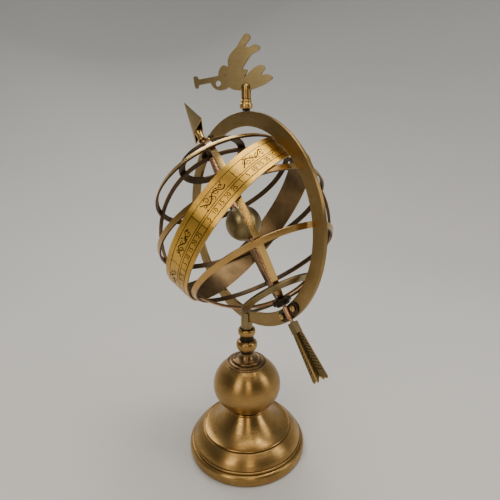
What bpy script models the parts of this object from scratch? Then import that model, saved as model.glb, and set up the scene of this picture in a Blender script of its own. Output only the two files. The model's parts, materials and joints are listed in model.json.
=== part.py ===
"""Armillary sphere on a turned brass stand, modelled piece by piece in metres, +Z up.

The origin is the centre of the felt underside. The meridian ring stands in the XZ plane, and the
polar rod crosses its front face, the one towards -Y. Everything on the rod is placed in the polar
frame, whose Z runs along the rod towards the arrow head.
"""

import math

import bmesh
import bpy
from mathutils import Matrix, Vector

MM = 0.001

GAP = 0.3 * MM
TURN_STEPS = 32
HOOP_STEPS = 48

# Meridian ring.
RING_CENTRE = Vector((0.0, 0.0, 250.0)) * MM
RING_OUTER = 100.0 * MM
RING_INNER = 87.4 * MM
RING_THICKNESS = 3.6 * MM
RING_STEPS = 72

# Polar rod and the axis that the cage turns about.
POLAR_TILT = math.radians(43.0)
ROD_RADIUS = 1.5 * MM
ROD_BORE = ROD_RADIUS + GAP
ROD_Y = -(RING_THICKNESS / 2 + GAP + ROD_RADIUS)
ROD_NORTH_END = 116.0 * MM
ROD_SOUTH_END = -111.0 * MM

# Cage of flat hoops.
HOOP_WIDTH = 5.2 * MM
COLURE_INNER = 78.5 * MM
COLURE_OUTER = 80.8 * MM
COLURE_A_ANGLE = math.radians(144.7)
COLURE_B_ANGLE = math.radians(54.7)
PARALLEL_OUTER = 83.2 * MM
PARALLEL_THICKNESS = 2.1 * MM
TROPIC_LATITUDE = math.radians(34.3)
POLAR_CIRCLE_LATITUDE = math.radians(66.9)
POLAR_CIRCLE_WIDTH = 7.6 * MM
ZODIAC_INNER = 83.6 * MM
ZODIAC_OUTER = 84.9 * MM
ZODIAC_WIDTH = 25.3 * MM
ZODIAC_TILT = math.radians(23.5)
ZODIAC_SOLSTICE_ANGLE = math.radians(55.0)
ZODIAC_STEPS = 64
HUB_RADIUS = 8.8 * MM
HUB_TOP = 85.8 * MM

CENTRE_BALL_RADIUS = 16.9 * MM
SLEEVE_RADIUS = 3.0 * MM
SLEEVE_END = 78.0 * MM

# Rod clamps on the ring's front face.
CLAMP_DISTANCE = 93.3 * MM
CLAMP_LENGTH = 29.0 * MM
CLAMP_WIDTH = 10.6 * MM
CLAMP_PLATE = 1.2 * MM
CLAMP_TUBE_RADIUS = 2.5 * MM
CLAMP_TUBE_LENGTH = 11.4 * MM
CLAMP_SCREW_SPACING = 18.6 * MM
SCREW_HEAD_RADIUS = 2.6 * MM
SCREW_HEAD_HEIGHT = 1.7 * MM
SCREW_SHANK_RADIUS = 1.4 * MM
SCREW_HOLE_RADIUS = 1.7 * MM
SCREW_SLOT = 0.8 * MM

# Arrow head and fletching.
ARROW_BASE = 112.7 * MM
ARROW_TIP = 155.0 * MM
ARROW_HALF_WIDTH = 20.4 * MM
ARROW_HALF_THICKNESS = 5.4 * MM
ARROW_ROLL = math.radians(-12.8)
FERRULE_REAR = 101.7 * MM
FLETCHING_SOCKET_START = 102.7 * MM
FLETCHING_SOCKET_END = 113.0 * MM
FLETCHING_SOCKET_SIDE = 6.9 * MM
FLETCHING_NOTCH = 150.8 * MM
FLETCHING_TIP = 155.6 * MM
FLETCHING_ROOT_HALF = 4.6 * MM
FLETCHING_TIP_HALF = 7.4 * MM
FLETCHING_THICKNESS = 2.4 * MM
FLETCHING_ROLL = math.radians(5.0)

# Turned stand, from the felt upwards.
FELT_RADIUS = 57.8 * MM
FELT_THICKNESS = 1.2 * MM
FOOT_RADIUS = 62.35 * MM
FOOT_LEDGE_RADIUS = 46.4 * MM
FOOT_LEDGE_Z = 27.4 * MM
FOOT_NECK_RADIUS = 20.0 * MM
FOOT_NECK_Z = 46.0 * MM
FOOT_WALL = 2.2 * MM
FOOT_WEB_UNDERSIDE = 42.8 * MM
BALL_CENTRE_Z = 75.8 * MM
BALL_RADIUS = 35.6 * MM
BALL_HALF_HEIGHT = 30.2 * MM
BALL_WALL = 1.6 * MM
CAP_RADIUS = 20.7 * MM
CAP_TOP_Z = 112.2 * MM
TIE_ROD_RADIUS = 2.5 * MM
TIE_ROD_BORE = TIE_ROD_RADIUS + GAP
TIE_ROD_BOTTOM = 34.0 * MM
TIE_ROD_TOP = 146.0 * MM
FORK_BOTTOM = 140.3 * MM
FORK_TOP = 158.0 * MM
FORK_PIN_Z = 154.0 * MM
FORK_PIN_RADIUS = 1.1 * MM

# Finial above the ring.
FINIAL_STUD_RADIUS = 0.9 * MM
FINIAL_PLATE_THICKNESS = 2.0 * MM
FINIAL_PLATE_ANGLE = math.radians(29.0)
FINIAL_SLOT_FLOOR = 366.4 * MM

MERGE_DISTANCE = 0.00001
COLLECTION_NAME = "armillary_sphere"

COLOURS = {
    "brass_satin": ((0.52, 0.34, 0.13), 0.32, 1.0),
    "brass_polished": ((0.80, 0.60, 0.26), 0.18, 1.0),
    "brass_aged": ((0.30, 0.21, 0.09), 0.40, 1.0),
    "bronze_dark": ((0.07, 0.055, 0.04), 0.45, 1.0),
    "copper_tone": ((0.55, 0.30, 0.18), 0.35, 1.0),
    "steel_plain": ((0.50, 0.50, 0.50), 0.35, 1.0),
    "felt_green": ((0.03, 0.07, 0.04), 0.95, 0.0),
}


# ---------------------------------------------------------------- scene tools


def clear_scene():
    for obj in list(bpy.data.objects):
        bpy.data.objects.remove(obj, do_unlink=True)


def new_collection(name):
    collection = bpy.data.collections.new(name)
    bpy.context.scene.collection.children.link(collection)
    return collection


def add_material(obj, look):
    colour, roughness, metallic = COLOURS[look]
    material = bpy.data.materials.new(obj.name)
    material.use_nodes = True
    shader = material.node_tree.nodes["Principled BSDF"]
    shader.inputs["Base Color"].default_value = (*colour, 1.0)
    shader.inputs["Roughness"].default_value = roughness
    shader.inputs["Metallic"].default_value = metallic
    obj.data.materials.clear()
    obj.data.materials.append(material)


def place(obj, matrix=None, parent=None):
    obj.parent = parent
    obj.matrix_local = matrix or Matrix()
    return obj


def object_from_bmesh(name, bm, collection):
    mesh = bpy.data.meshes.new(name)
    bm.to_mesh(mesh)
    bm.free()
    obj = bpy.data.objects.new(name, mesh)
    collection.objects.link(obj)
    return obj


def baked(obj):
    """Turns a curve, or a mesh with modifiers, into a plain welded mesh of the same name and place."""
    bpy.context.view_layer.update()
    evaluated = obj.evaluated_get(bpy.context.evaluated_depsgraph_get())
    mesh = bpy.data.meshes.new_from_object(evaluated)
    bm = bmesh.new()
    bm.from_mesh(mesh)
    bmesh.ops.remove_doubles(bm, verts=bm.verts, dist=MERGE_DISTANCE)
    bm.to_mesh(mesh)
    bm.free()
    name = obj.name
    matrix = obj.matrix_local.copy()
    parent = obj.parent
    collection = obj.users_collection[0]
    bpy.data.objects.remove(obj, do_unlink=True)
    mesh.name = name
    solid = bpy.data.objects.new(name, mesh)
    collection.objects.link(solid)
    return place(solid, matrix, parent)


# ------------------------------------------------------------- shape builders


def turned(name, profile, collection, steps=TURN_STEPS):
    """A profile of (radius, height) points, down the outer side first, turned about local Z.

    The profile closes on itself unless both of its ends lie on the axis.
    """
    bm = bmesh.new()
    verts = [bm.verts.new((radius, 0.0, height)) for radius, height in profile]
    for first, second in zip(verts, verts[1:]):
        bm.edges.new((first, second))
    if profile[0][0] > 0.0:
        bm.edges.new((verts[-1], verts[0]))
    obj = object_from_bmesh(name, bm, collection)
    screw = obj.modifiers.new("Turn", "SCREW")
    screw.axis = "Z"
    screw.angle = math.tau
    screw.steps = steps
    screw.render_steps = steps
    screw.use_merge_vertices = True
    screw.merge_threshold = MERGE_DISTANCE
    screw.use_smooth_shade = False
    return obj


def tube_profile(inner, outer, low, high):
    return [(outer, high), (outer, low), (inner, low), (inner, high)]


def rod_profile(radius, low, high, chamfer=0.0):
    return [
        (0.0, high),
        (radius - chamfer, high),
        (radius, high - chamfer),
        (radius, low + chamfer),
        (radius - chamfer, low),
        (0.0, low),
    ]


def disc(name, radius, depth, collection, steps=24):
    bm = bmesh.new()
    bmesh.ops.create_cone(
        bm, cap_ends=True, segments=steps, radius1=radius, radius2=radius, depth=depth
    )
    return object_from_bmesh(name, bm, collection)


def block(name, size, collection):
    bm = bmesh.new()
    bmesh.ops.create_cube(bm, size=1.0)
    bmesh.ops.scale(bm, vec=Vector(size), verts=bm.verts)
    return object_from_bmesh(name, bm, collection)


def flat_plate(name, outlines, thickness, collection, resolution=3):
    """A plate in local XY. Each outline is a closed list of (x, y, handle) with AUTO or VECTOR handles."""
    curve = bpy.data.curves.new(name, "CURVE")
    curve.dimensions = "2D"
    curve.fill_mode = "BOTH"
    curve.extrude = thickness / 2
    curve.resolution_u = resolution
    for outline in outlines:
        spline = curve.splines.new("BEZIER")
        spline.bezier_points.add(len(outline) - 1)
        for point, (x, y, handle) in zip(spline.bezier_points, outline):
            point.co = (x, y, 0.0)
            point.handle_left_type = handle
            point.handle_right_type = handle
        spline.use_cyclic_u = True
    obj = bpy.data.objects.new(name, curve)
    collection.objects.link(obj)
    return obj


def corners(points):
    return [(x, y, "VECTOR") for x, y in points]


def combine(obj, tool, operation="DIFFERENCE"):
    """Adds a Boolean with another object, which becomes a hidden guide."""
    boolean = obj.modifiers.new(f"{operation.title()} {tool.name}", "BOOLEAN")
    boolean.operation = operation
    boolean.solver = "EXACT"
    boolean.object = tool
    tool.hide_render = True
    tool.display_type = "WIRE"


def along_y():
    """Turns local Z into world -Y."""
    return Matrix.Rotation(math.radians(90), 4, "X")


# -------------------------------------------------------------------- frames


def polar_empty(name, collection):
    """Origin on the rod at the sphere's centre, Z along the rod to the north, X in the ring's plane."""
    empty = bpy.data.objects.new(name, None)
    collection.objects.link(empty)
    centre = RING_CENTRE + Vector((0.0, ROD_Y, 0.0))
    empty.matrix_world = Matrix.Translation(centre) @ Matrix.Rotation(-POLAR_TILT, 4, "Y")
    return empty


def hoop_in_plane(angle):
    """Stands a hoop's axis square to the rod, so that the hoop passes over both poles at this angle."""
    return Matrix.Rotation(angle + math.pi / 2, 4, "Z") @ Matrix.Rotation(math.pi / 2, 4, "Y")


def zodiac_plane():
    """Tips the band's axis away from the rod, its highest point at the solstice angle."""
    turn = Matrix.Rotation(ZODIAC_SOLSTICE_ANGLE, 4, "Z")
    return turn @ Matrix.Rotation(-ZODIAC_TILT, 4, "Y")


def on_rod(distance):
    return Matrix.Translation((0.0, 0.0, distance))


def facing(pole):
    """Identity for the north end of the rod, and a half turn about the ring's normal for the south."""
    return Matrix() if pole > 0 else Matrix.Rotation(math.pi, 4, "Y")


# --------------------------------------------------------------- turned stand


def ball_height(radius, swell=0.0):
    """Half height of the base ball's surface at this radius, grown outwards by swell."""
    share = 1.0 - (radius / (BALL_RADIUS + swell)) ** 2
    return (BALL_HALF_HEIGHT + swell) * math.sqrt(share)


def felt_pad(parts):
    pad = turned("felt_pad", rod_profile(FELT_RADIUS, 0.0, FELT_THICKNESS), parts)
    add_material(pad, "felt_green")


def foot_cone(radius, inset=0.0):
    """The foot's concave upper cone: steep at the neck, nearly flat where it meets the ledge."""
    span = (FOOT_LEDGE_RADIUS - radius) / (FOOT_LEDGE_RADIUS - FOOT_NECK_RADIUS)
    return FOOT_LEDGE_Z - inset + (FOOT_NECK_Z - FOOT_LEDGE_Z) * max(span, 0.0) ** 1.7


def base_foot(parts):
    """A spun shell: neck dish for the ball, concave cone, ledge, round shoulder, bead and flange."""
    cone = [FOOT_NECK_RADIUS + share * (FOOT_LEDGE_RADIUS - FOOT_NECK_RADIUS) for share in
            (0.0, 0.12, 0.27, 0.45, 0.68, 1.0)]
    outer = [(17.6 * MM, 48.8 * MM)]
    outer += [(radius, foot_cone(radius)) for radius in cone]
    outer += [
        (46.6 * MM, 26.2 * MM),
        (51.6 * MM, 22.6 * MM),
        (55.6 * MM, 18.4 * MM),
        (57.8 * MM, 14.0 * MM),
        (59.0 * MM, 13.4 * MM),
        (59.0 * MM, 12.0 * MM),
        (58.2 * MM, 11.3 * MM),
        (60.0 * MM, 10.7 * MM),
        (61.7 * MM, 9.3 * MM),
        (FOOT_RADIUS, 7.0 * MM),
        (FOOT_RADIUS, 2.0 * MM),
        (61.4 * MM, 0.6 * MM),
    ]
    inner = [
        (58.3 * MM, 0.6 * MM),
        (58.3 * MM, 8.0 * MM),
        (55.2 * MM, 14.0 * MM),
        (49.6 * MM, 20.4 * MM),
        (44.6 * MM, 25.0 * MM),
    ]
    inner += [(radius - FOOT_WALL, foot_cone(radius, FOOT_WALL)) for radius in reversed(cone[1:-1])]
    inner += [(16.6 * MM, FOOT_WEB_UNDERSIDE), (TIE_ROD_BORE, FOOT_WEB_UNDERSIDE)]
    dish = [TIE_ROD_BORE, 8.0 * MM, 13.0 * MM, 17.0 * MM]
    inner += [(radius, BALL_CENTRE_Z - ball_height(radius, GAP)) for radius in dish]
    foot = turned("base_foot", outer + inner, parts, steps=40)
    add_material(foot, "brass_satin")


def tie_rod_set(parts, guides):
    rod = turned("tie_rod", rod_profile(TIE_ROD_RADIUS, TIE_ROD_BOTTOM, TIE_ROD_TOP, 0.4 * MM), parts, 16)
    add_material(rod, "steel_plain")
    washer_top = FOOT_WEB_UNDERSIDE - GAP
    washer_bottom = washer_top - 1.5 * MM
    washer = turned(
        "base_washer", tube_profile(TIE_ROD_BORE, 8.0 * MM, washer_bottom, washer_top), parts, 24
    )
    add_material(washer, "steel_plain")
    nut = disc("tie_rod_nut", 5.0 * MM, 4.0 * MM, parts, steps=6)
    nut_spot = Matrix.Translation((0.0, 0.0, washer_bottom - GAP - 2.0 * MM))
    place(nut, nut_spot)
    nut_bore = disc("nut_bore", TIE_ROD_BORE, 10.0 * MM, guides, steps=16)
    place(nut_bore, nut_spot)
    combine(nut, nut_bore)
    add_material(nut, "steel_plain")


def base_ball(parts):
    """A flattened hollow ball with a hole at each pole for the tie rod."""
    hole = math.asin(TIE_ROD_BORE / BALL_RADIUS)
    outer_angles = [hole + (math.pi - 2 * hole) * step / 14 for step in range(15)]
    outer = [
        (BALL_RADIUS * math.sin(angle), BALL_CENTRE_Z + BALL_HALF_HEIGHT * math.cos(angle))
        for angle in outer_angles
    ]
    inner_radius = BALL_RADIUS - BALL_WALL
    inner_half = BALL_HALF_HEIGHT - BALL_WALL
    hole = math.asin(TIE_ROD_BORE / inner_radius)
    inner_angles = [math.pi - hole - (math.pi - 2 * hole) * step / 8 for step in range(9)]
    inner = [
        (inner_radius * math.sin(angle), BALL_CENTRE_Z + inner_half * math.cos(angle))
        for angle in inner_angles
    ]
    ball = turned("base_ball", outer + inner, parts)
    add_material(ball, "brass_satin")


def ball_cap(parts):
    """A trumpet-shaped cap that sits on the ball on two stepped ledges."""
    rim_bottom = BALL_CENTRE_Z + ball_height(CAP_RADIUS, GAP) + 0.1 * MM
    outer = [
        (6.4 * MM, CAP_TOP_Z),
        (7.0 * MM, 109.6 * MM),
        (8.8 * MM, 107.4 * MM),
        (11.6 * MM, 105.8 * MM),
        (14.0 * MM, 105.0 * MM),
        (14.4 * MM, 104.2 * MM),
        (18.2 * MM, 102.9 * MM),
        (20.2 * MM, 102.2 * MM),
        (CAP_RADIUS, 101.6 * MM),
        (CAP_RADIUS, rim_bottom),
    ]
    under = [
        (radius, BALL_CENTRE_Z + ball_height(radius, GAP))
        for radius in (17.0 * MM, 12.0 * MM, 7.0 * MM, TIE_ROD_BORE)
    ]
    cap = turned("ball_cap", outer + under + [(TIE_ROD_BORE, CAP_TOP_Z)], parts)
    add_material(cap, "brass_aged")


def stem_knop(parts):
    """The big bead of the stem with the small neck below it."""
    bottom = CAP_TOP_Z + GAP
    profile = [
        (7.2 * MM, 128.2 * MM),
        (8.6 * MM, 128.0 * MM),
        (10.2 * MM, 126.6 * MM),
        (10.9 * MM, 124.2 * MM),
        (10.9 * MM, 119.8 * MM),
        (10.2 * MM, 117.2 * MM),
        (8.4 * MM, 115.6 * MM),
        (6.4 * MM, 115.0 * MM),
        (6.2 * MM, 113.6 * MM),
        (6.4 * MM, bottom),
        (TIE_ROD_BORE, bottom),
        (TIE_ROD_BORE, 128.2 * MM),
    ]
    knop = turned("stem_knop", profile, parts)
    add_material(knop, "brass_aged")


def stem_collar(parts):
    """The bright upper bead, with a plain neck under it."""
    profile = [
        (7.4 * MM, 140.0 * MM),
        (8.6 * MM, 139.4 * MM),
        (9.0 * MM, 138.2 * MM),
        (9.0 * MM, 132.8 * MM),
        (8.6 * MM, 131.6 * MM),
        (7.2 * MM, 131.0 * MM),
        (7.2 * MM, 128.5 * MM),
        (TIE_ROD_BORE, 128.5 * MM),
        (TIE_ROD_BORE, 140.0 * MM),
    ]
    collar = turned("stem_collar", profile, parts)
    add_material(collar, "brass_polished")


def stem_fork(parts, guides):
    """The tube that the meridian ring stands in: slotted from above, bored from below."""
    bore_top = TIE_ROD_TOP + 0.4 * MM
    profile = [
        (0.0, FORK_TOP),
        (5.3 * MM, FORK_TOP),
        (5.7 * MM, FORK_TOP - 0.4 * MM),
        (6.1 * MM, FORK_BOTTOM + 1.0 * MM),
        (6.1 * MM, FORK_BOTTOM),
        (TIE_ROD_BORE, FORK_BOTTOM),
        (TIE_ROD_BORE, bore_top),
        (0.0, bore_top),
    ]
    fork = turned("stem_fork", profile, parts, steps=32)
    slot = disc("fork_slot", RING_OUTER + GAP, RING_THICKNESS + 2 * GAP, guides, steps=144)
    place(slot, Matrix.Translation(RING_CENTRE) @ along_y())
    combine(fork, slot)
    combine(fork, fork_pin_hole(guides))
    add_material(fork, "brass_aged")
    pin = turned("fork_pin", rod_profile(FORK_PIN_RADIUS, -5.0 * MM, 5.0 * MM), parts, steps=12)
    place(pin, Matrix.Translation((0.0, 0.0, FORK_PIN_Z)) @ along_y())
    add_material(pin, "brass_aged")


def fork_pin_hole(guides):
    hole = disc("fork_pin_hole", FORK_PIN_RADIUS + GAP, 30.0 * MM, guides, steps=12)
    return place(hole, Matrix.Translation((0.0, 0.0, FORK_PIN_Z)) @ along_y())


# -------------------------------------------------------------- meridian ring


def meridian_ring(parts, guides, polar):
    half = RING_THICKNESS / 2
    edge = 0.4 * MM
    profile = [
        (RING_OUTER, half - edge),
        (RING_OUTER, -half + edge),
        (RING_OUTER - edge, -half),
        (RING_INNER, -half),
        (RING_INNER, half),
        (RING_OUTER - edge, half),
    ]
    ring = turned("meridian_ring", profile, parts, steps=RING_STEPS)
    place(ring, Matrix.Translation(RING_CENTRE) @ along_y())
    combine(ring, fork_pin_hole(guides))
    stud_hole = disc("finial_stud_hole", FINIAL_STUD_RADIUS + GAP, 12.0 * MM, guides, steps=12)
    place(stud_hole, Matrix.Translation(RING_CENTRE + Vector((0.0, 0.0, RING_OUTER - 1.0 * MM))))
    combine(ring, stud_hole)
    for index, matrix in enumerate(clamp_screw_places()):
        hole = disc(f"clamp_hole_{index}", SCREW_HOLE_RADIUS, 16.0 * MM, guides, steps=12)
        place(hole, matrix, polar)
        combine(ring, hole)
    add_material(ring, "brass_aged")


# ------------------------------------------------------ rod, clamps and arrow


def polar_rod(parts, polar):
    rod = turned(
        "polar_rod", rod_profile(ROD_RADIUS, ROD_SOUTH_END, ROD_NORTH_END, 0.3 * MM), parts, 16
    )
    place(rod, None, polar)
    add_material(rod, "copper_tone")


def clamp_screw_places():
    """Polar-frame matrices of the four screws, local Z pointing out of the ring's front face."""
    places = []
    for distance in (CLAMP_DISTANCE, -CLAMP_DISTANCE):
        for side in (-0.5, 0.5):
            spot = Matrix.Translation((side * CLAMP_SCREW_SPACING, 0.0, distance))
            places.append(spot @ along_y())
    return places


def clamp(name, distance, parts, guides, polar):
    """A saddle on the ring's face: a round-ended plate with a half tube that holds the rod."""
    back = ROD_RADIUS
    front = back - CLAMP_PLATE
    half_length = CLAMP_LENGTH / 2
    half_width = CLAMP_WIDTH / 2
    straight = half_length - half_width
    round_end = [math.radians(angle) for angle in range(-90, 91, 30)]
    right = [(straight + half_width * math.cos(a), half_width * math.sin(a)) for a in round_end]
    left = [(-x, -y) for x, y in right]
    plate = baked(flat_plate(name, [corners(right + left)], CLAMP_PLATE, parts))
    spot = Matrix.Translation((0.0, (back + front) / 2, distance)) @ along_y()
    place(plate, spot, polar)
    tube = disc(f"{name}_tube", CLAMP_TUBE_RADIUS, CLAMP_TUBE_LENGTH, guides, steps=20)
    place(tube, on_rod(distance), polar)
    combine(plate, tube, "UNION")
    bore = disc(f"{name}_bore", ROD_BORE, 40.0 * MM, guides, steps=16)
    place(bore, on_rod(distance), polar)
    combine(plate, bore)
    ring_side = block(f"{name}_ring_side", (40.0 * MM, 4.0 * MM, 40.0 * MM), guides)
    place(ring_side, Matrix.Translation((0.0, back + 2.0 * MM, distance)), polar)
    combine(plate, ring_side)
    for side in (-0.5, 0.5):
        hole = disc(f"{name}_hole_{side}", SCREW_HOLE_RADIUS, 8.0 * MM, guides, steps=12)
        place(hole, Matrix.Translation((side * CLAMP_SCREW_SPACING, 0.0, distance)) @ along_y(), polar)
        combine(plate, hole)
    add_material(plate, "bronze_dark")


def clamp_screws(parts, guides, polar):
    """Four slotted cheese-head screws that share one mesh; local Z runs out of the head."""
    seat = -(ROD_RADIUS - CLAMP_PLATE) + GAP
    head_top = seat + SCREW_HEAD_HEIGHT
    shank_end = -(ROD_RADIUS + GAP + RING_THICKNESS - GAP)
    profile = [
        (0.0, head_top),
        (SCREW_HEAD_RADIUS - 0.4 * MM, head_top),
        (SCREW_HEAD_RADIUS, head_top - 0.4 * MM),
        (SCREW_HEAD_RADIUS, seat),
        (SCREW_SHANK_RADIUS, seat),
        (SCREW_SHANK_RADIUS, shank_end),
        (0.0, shank_end),
    ]
    screw = turned("screw_pattern", profile, guides, steps=16)
    slot = block("screw_slot", (8.0 * MM, SCREW_SLOT, 1.6 * MM), guides)
    place(slot, Matrix.Translation((0.0, 0.0, head_top)))
    combine(screw, slot)
    pattern = baked(screw)
    add_material(pattern, "brass_polished")
    for index, matrix in enumerate(clamp_screw_places(), start=1):
        copy = bpy.data.objects.new(f"clamp_screw_{index}", pattern.data)
        parts.objects.link(copy)
        place(copy, matrix, polar)
    bpy.data.objects.remove(pattern, do_unlink=True)


def arrow_head(parts, guides, polar):
    """A long rhombic point, hollow behind, with a round ferrule that takes the rod."""
    length = ARROW_TIP - ARROW_BASE
    point = rhombic_point("arrow_head", ARROW_HALF_WIDTH, ARROW_HALF_THICKNESS, length, parts)
    place(point, on_rod(ARROW_BASE) @ Matrix.Rotation(ARROW_ROLL, 4, "Z"), polar)
    wall_share = 0.84
    hollow = rhombic_point(
        "arrow_hollow",
        ARROW_HALF_WIDTH * wall_share,
        ARROW_HALF_THICKNESS * wall_share,
        length * 0.6,
        guides,
    )
    place(hollow, on_rod(ARROW_BASE - 0.01 * MM) @ Matrix.Rotation(ARROW_ROLL, 4, "Z"), polar)
    combine(point, hollow)
    ferrule_profile = [
        (0.0, 122.0 * MM),
        (3.3 * MM, 122.0 * MM),
        (4.4 * MM, 113.6 * MM),
        (3.7 * MM, 107.0 * MM),
        (4.3 * MM, FERRULE_REAR),
        (0.0, FERRULE_REAR),
    ]
    ferrule = baked(turned("arrow_ferrule", ferrule_profile, guides, steps=20))
    place(ferrule, None, polar)
    combine(point, ferrule, "UNION")
    bore = disc("arrow_bore", ROD_BORE, 20.0 * MM, guides, steps=16)
    place(bore, on_rod(ROD_NORTH_END + GAP - 10.0 * MM), polar)
    combine(point, bore)
    add_material(point, "brass_satin")


def rhombic_point(name, half_width, half_thickness, length, collection):
    bm = bmesh.new()
    bmesh.ops.create_cone(bm, cap_ends=True, segments=4, radius1=1.0, radius2=0.0, depth=length)
    bmesh.ops.translate(bm, verts=bm.verts, vec=(0.0, 0.0, length / 2))
    bmesh.ops.scale(bm, verts=bm.verts, vec=(half_width, half_thickness, 1.0))
    bmesh.ops.remove_doubles(bm, verts=bm.verts, dist=MERGE_DISTANCE)
    return object_from_bmesh(name, bm, collection)


def fletching(parts, guides, polar):
    """A square socket with four notched feather vanes, at the south end of the rod."""
    roll = Matrix.Rotation(FLETCHING_ROLL, 4, "Z")
    middle = -(FLETCHING_SOCKET_START + FLETCHING_SOCKET_END) / 2
    depth = FLETCHING_SOCKET_END - FLETCHING_SOCKET_START
    socket = block("fletching", (FLETCHING_SOCKET_SIDE, FLETCHING_SOCKET_SIDE, depth), parts)
    place(socket, on_rod(middle) @ roll, polar)
    root = -FLETCHING_SOCKET_END + 2.0 * MM
    outline = [
        (FLETCHING_SOCKET_SIDE / 2 - 0.4 * MM, root),
        (FLETCHING_ROOT_HALF, root - 3.0 * MM),
        (FLETCHING_TIP_HALF, -FLETCHING_TIP + 1.6 * MM),
        (FLETCHING_TIP_HALF - 1.0 * MM, -FLETCHING_TIP),
        (0.0, -FLETCHING_NOTCH),
    ]
    mirrored = [(-x, y) for x, y in reversed(outline[:-1])]
    for quarter in (0, 1):
        vane_name = f"fletching_vanes_{quarter}"
        plate = flat_plate(vane_name, [corners(outline + mirrored)], FLETCHING_THICKNESS, guides)
        vanes = baked(plate)
        stand = Matrix.Rotation(FLETCHING_ROLL + quarter * math.pi / 2, 4, "Z")
        place(vanes, stand @ Matrix.Rotation(math.pi / 2, 4, "X"), polar)
        combine(socket, vanes, "UNION")
    bore = disc("fletching_bore", ROD_BORE, 20.0 * MM, guides, steps=16)
    place(bore, on_rod(ROD_SOUTH_END - GAP + 10.0 * MM), polar)
    combine(socket, bore)
    add_material(socket, "brass_aged")


def centre_ball(parts, polar):
    bore = math.asin(ROD_BORE / CENTRE_BALL_RADIUS)
    angles = [bore + (math.pi - 2 * bore) * step / 12 for step in range(13)]
    profile = [
        (CENTRE_BALL_RADIUS * math.sin(angle), CENTRE_BALL_RADIUS * math.cos(angle))
        for angle in angles
    ]
    ball = turned("centre_ball", profile, parts)
    place(ball, None, polar)
    add_material(ball, "brass_satin")


def rod_sleeve(name, pole, parts, polar):
    """The tube between the centre ball and the hub, which keeps the ball in the middle."""
    profile = tube_profile(ROD_BORE, SLEEVE_RADIUS, CENTRE_BALL_RADIUS + GAP, SLEEVE_END)
    sleeve = turned(name, profile, parts, steps=20)
    place(sleeve, facing(pole), polar)
    add_material(sleeve, "copper_tone")


# ------------------------------------------------------------------- the cage


def colure(name, angle, keeps_outer_half, parts, guides, cage):
    """A full hoop over both poles, halved where it crosses its partner, with a hole for the rod."""
    profile = tube_profile(COLURE_INNER, COLURE_OUTER, -HOOP_WIDTH / 2, HOOP_WIDTH / 2)
    hoop = turned(name, profile, parts, steps=HOOP_STEPS)
    place(hoop, hoop_in_plane(angle), cage)
    middle = (COLURE_INNER + COLURE_OUTER) / 2
    side = HOOP_WIDTH + 4 * GAP
    for pole in (1, -1):
        if keeps_outer_half:
            low, high = COLURE_INNER - 2.0 * MM, middle + GAP / 2
        else:
            low, high = middle - GAP / 2, COLURE_OUTER + 2.0 * MM
        lap = block(f"{name}_lap_{pole}", (side, side, high - low), guides)
        place(lap, on_rod(pole * (low + high) / 2) @ Matrix.Rotation(angle, 4, "Z"), cage)
        combine(hoop, lap)
    hole = disc(f"{name}_rod_hole", ROD_BORE, 200.0 * MM, guides, steps=16)
    place(hole, None, cage)
    combine(hoop, hole)
    add_material(hoop, "brass_polished" if keeps_outer_half else "copper_tone")


def strip_profile(latitude, width, thickness, outer):
    """Section of a strip whose outer face touches the cage's sphere at this latitude."""
    outwards = Vector((math.cos(latitude), math.sin(latitude)))
    northwards = Vector((-math.sin(latitude), math.cos(latitude)))
    middle = outwards * outer
    rise = northwards * width / 2
    depth = outwards * thickness
    section = (middle + rise, middle - rise, middle - rise - depth, middle + rise - depth)
    return [tuple(corner) for corner in section]


def parallel(name, latitude, width, look, parts, cage):
    """A hoop square to the rod, a vertex of its outline over each arm of the colures."""
    section = strip_profile(latitude, width, PARALLEL_THICKNESS, PARALLEL_OUTER)
    hoop = turned(name, section, parts, HOOP_STEPS)
    place(hoop, Matrix.Rotation(COLURE_B_ANGLE, 4, "Z"), cage)
    add_material(hoop, look)


def zodiac_band(parts, cage):
    half = ZODIAC_WIDTH / 2
    band = turned(
        "zodiac_band", tube_profile(ZODIAC_INNER, ZODIAC_OUTER, -half, half), parts, ZODIAC_STEPS
    )
    place(band, zodiac_plane(), cage)
    add_material(band, "brass_polished")


def hub(name, pole, parts, cage):
    """The round boss that clinches the colures at a pole and turns on the rod."""
    seat = COLURE_OUTER + GAP
    profile = [
        (6.4 * MM, HUB_TOP),
        (6.4 * MM, HUB_TOP - 1.8 * MM),
        (HUB_RADIUS - 0.4 * MM, HUB_TOP - 1.8 * MM),
        (HUB_RADIUS, HUB_TOP - 2.2 * MM),
        (HUB_RADIUS, seat),
        (ROD_BORE, seat),
        (ROD_BORE, HUB_TOP),
    ]
    boss = turned(name, profile, parts, steps=28)
    place(boss, facing(pole), cage)
    add_material(boss, "bronze_dark")


def cage_pieces(parts, guides, cage):
    colure("colure_a", COLURE_A_ANGLE, True, parts, guides, cage)
    colure("colure_b", COLURE_B_ANGLE, False, parts, guides, cage)
    parallel("equator", 0.0, HOOP_WIDTH, "brass_satin", parts, cage)
    for pole, tropic_name, circle_name, hub_name in (
        (1, "tropic_north", "polar_circle_north", "hub_north"),
        (-1, "tropic_south", "polar_circle_south", "hub_south"),
    ):
        tropic = pole * TROPIC_LATITUDE
        circle = pole * POLAR_CIRCLE_LATITUDE
        parallel(tropic_name, tropic, HOOP_WIDTH, "brass_polished", parts, cage)
        parallel(circle_name, circle, POLAR_CIRCLE_WIDTH, "brass_aged", parts, cage)
        hub(hub_name, pole, parts, cage)
    zodiac_band(parts, cage)


# --------------------------------------------------------------------- finial


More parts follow.
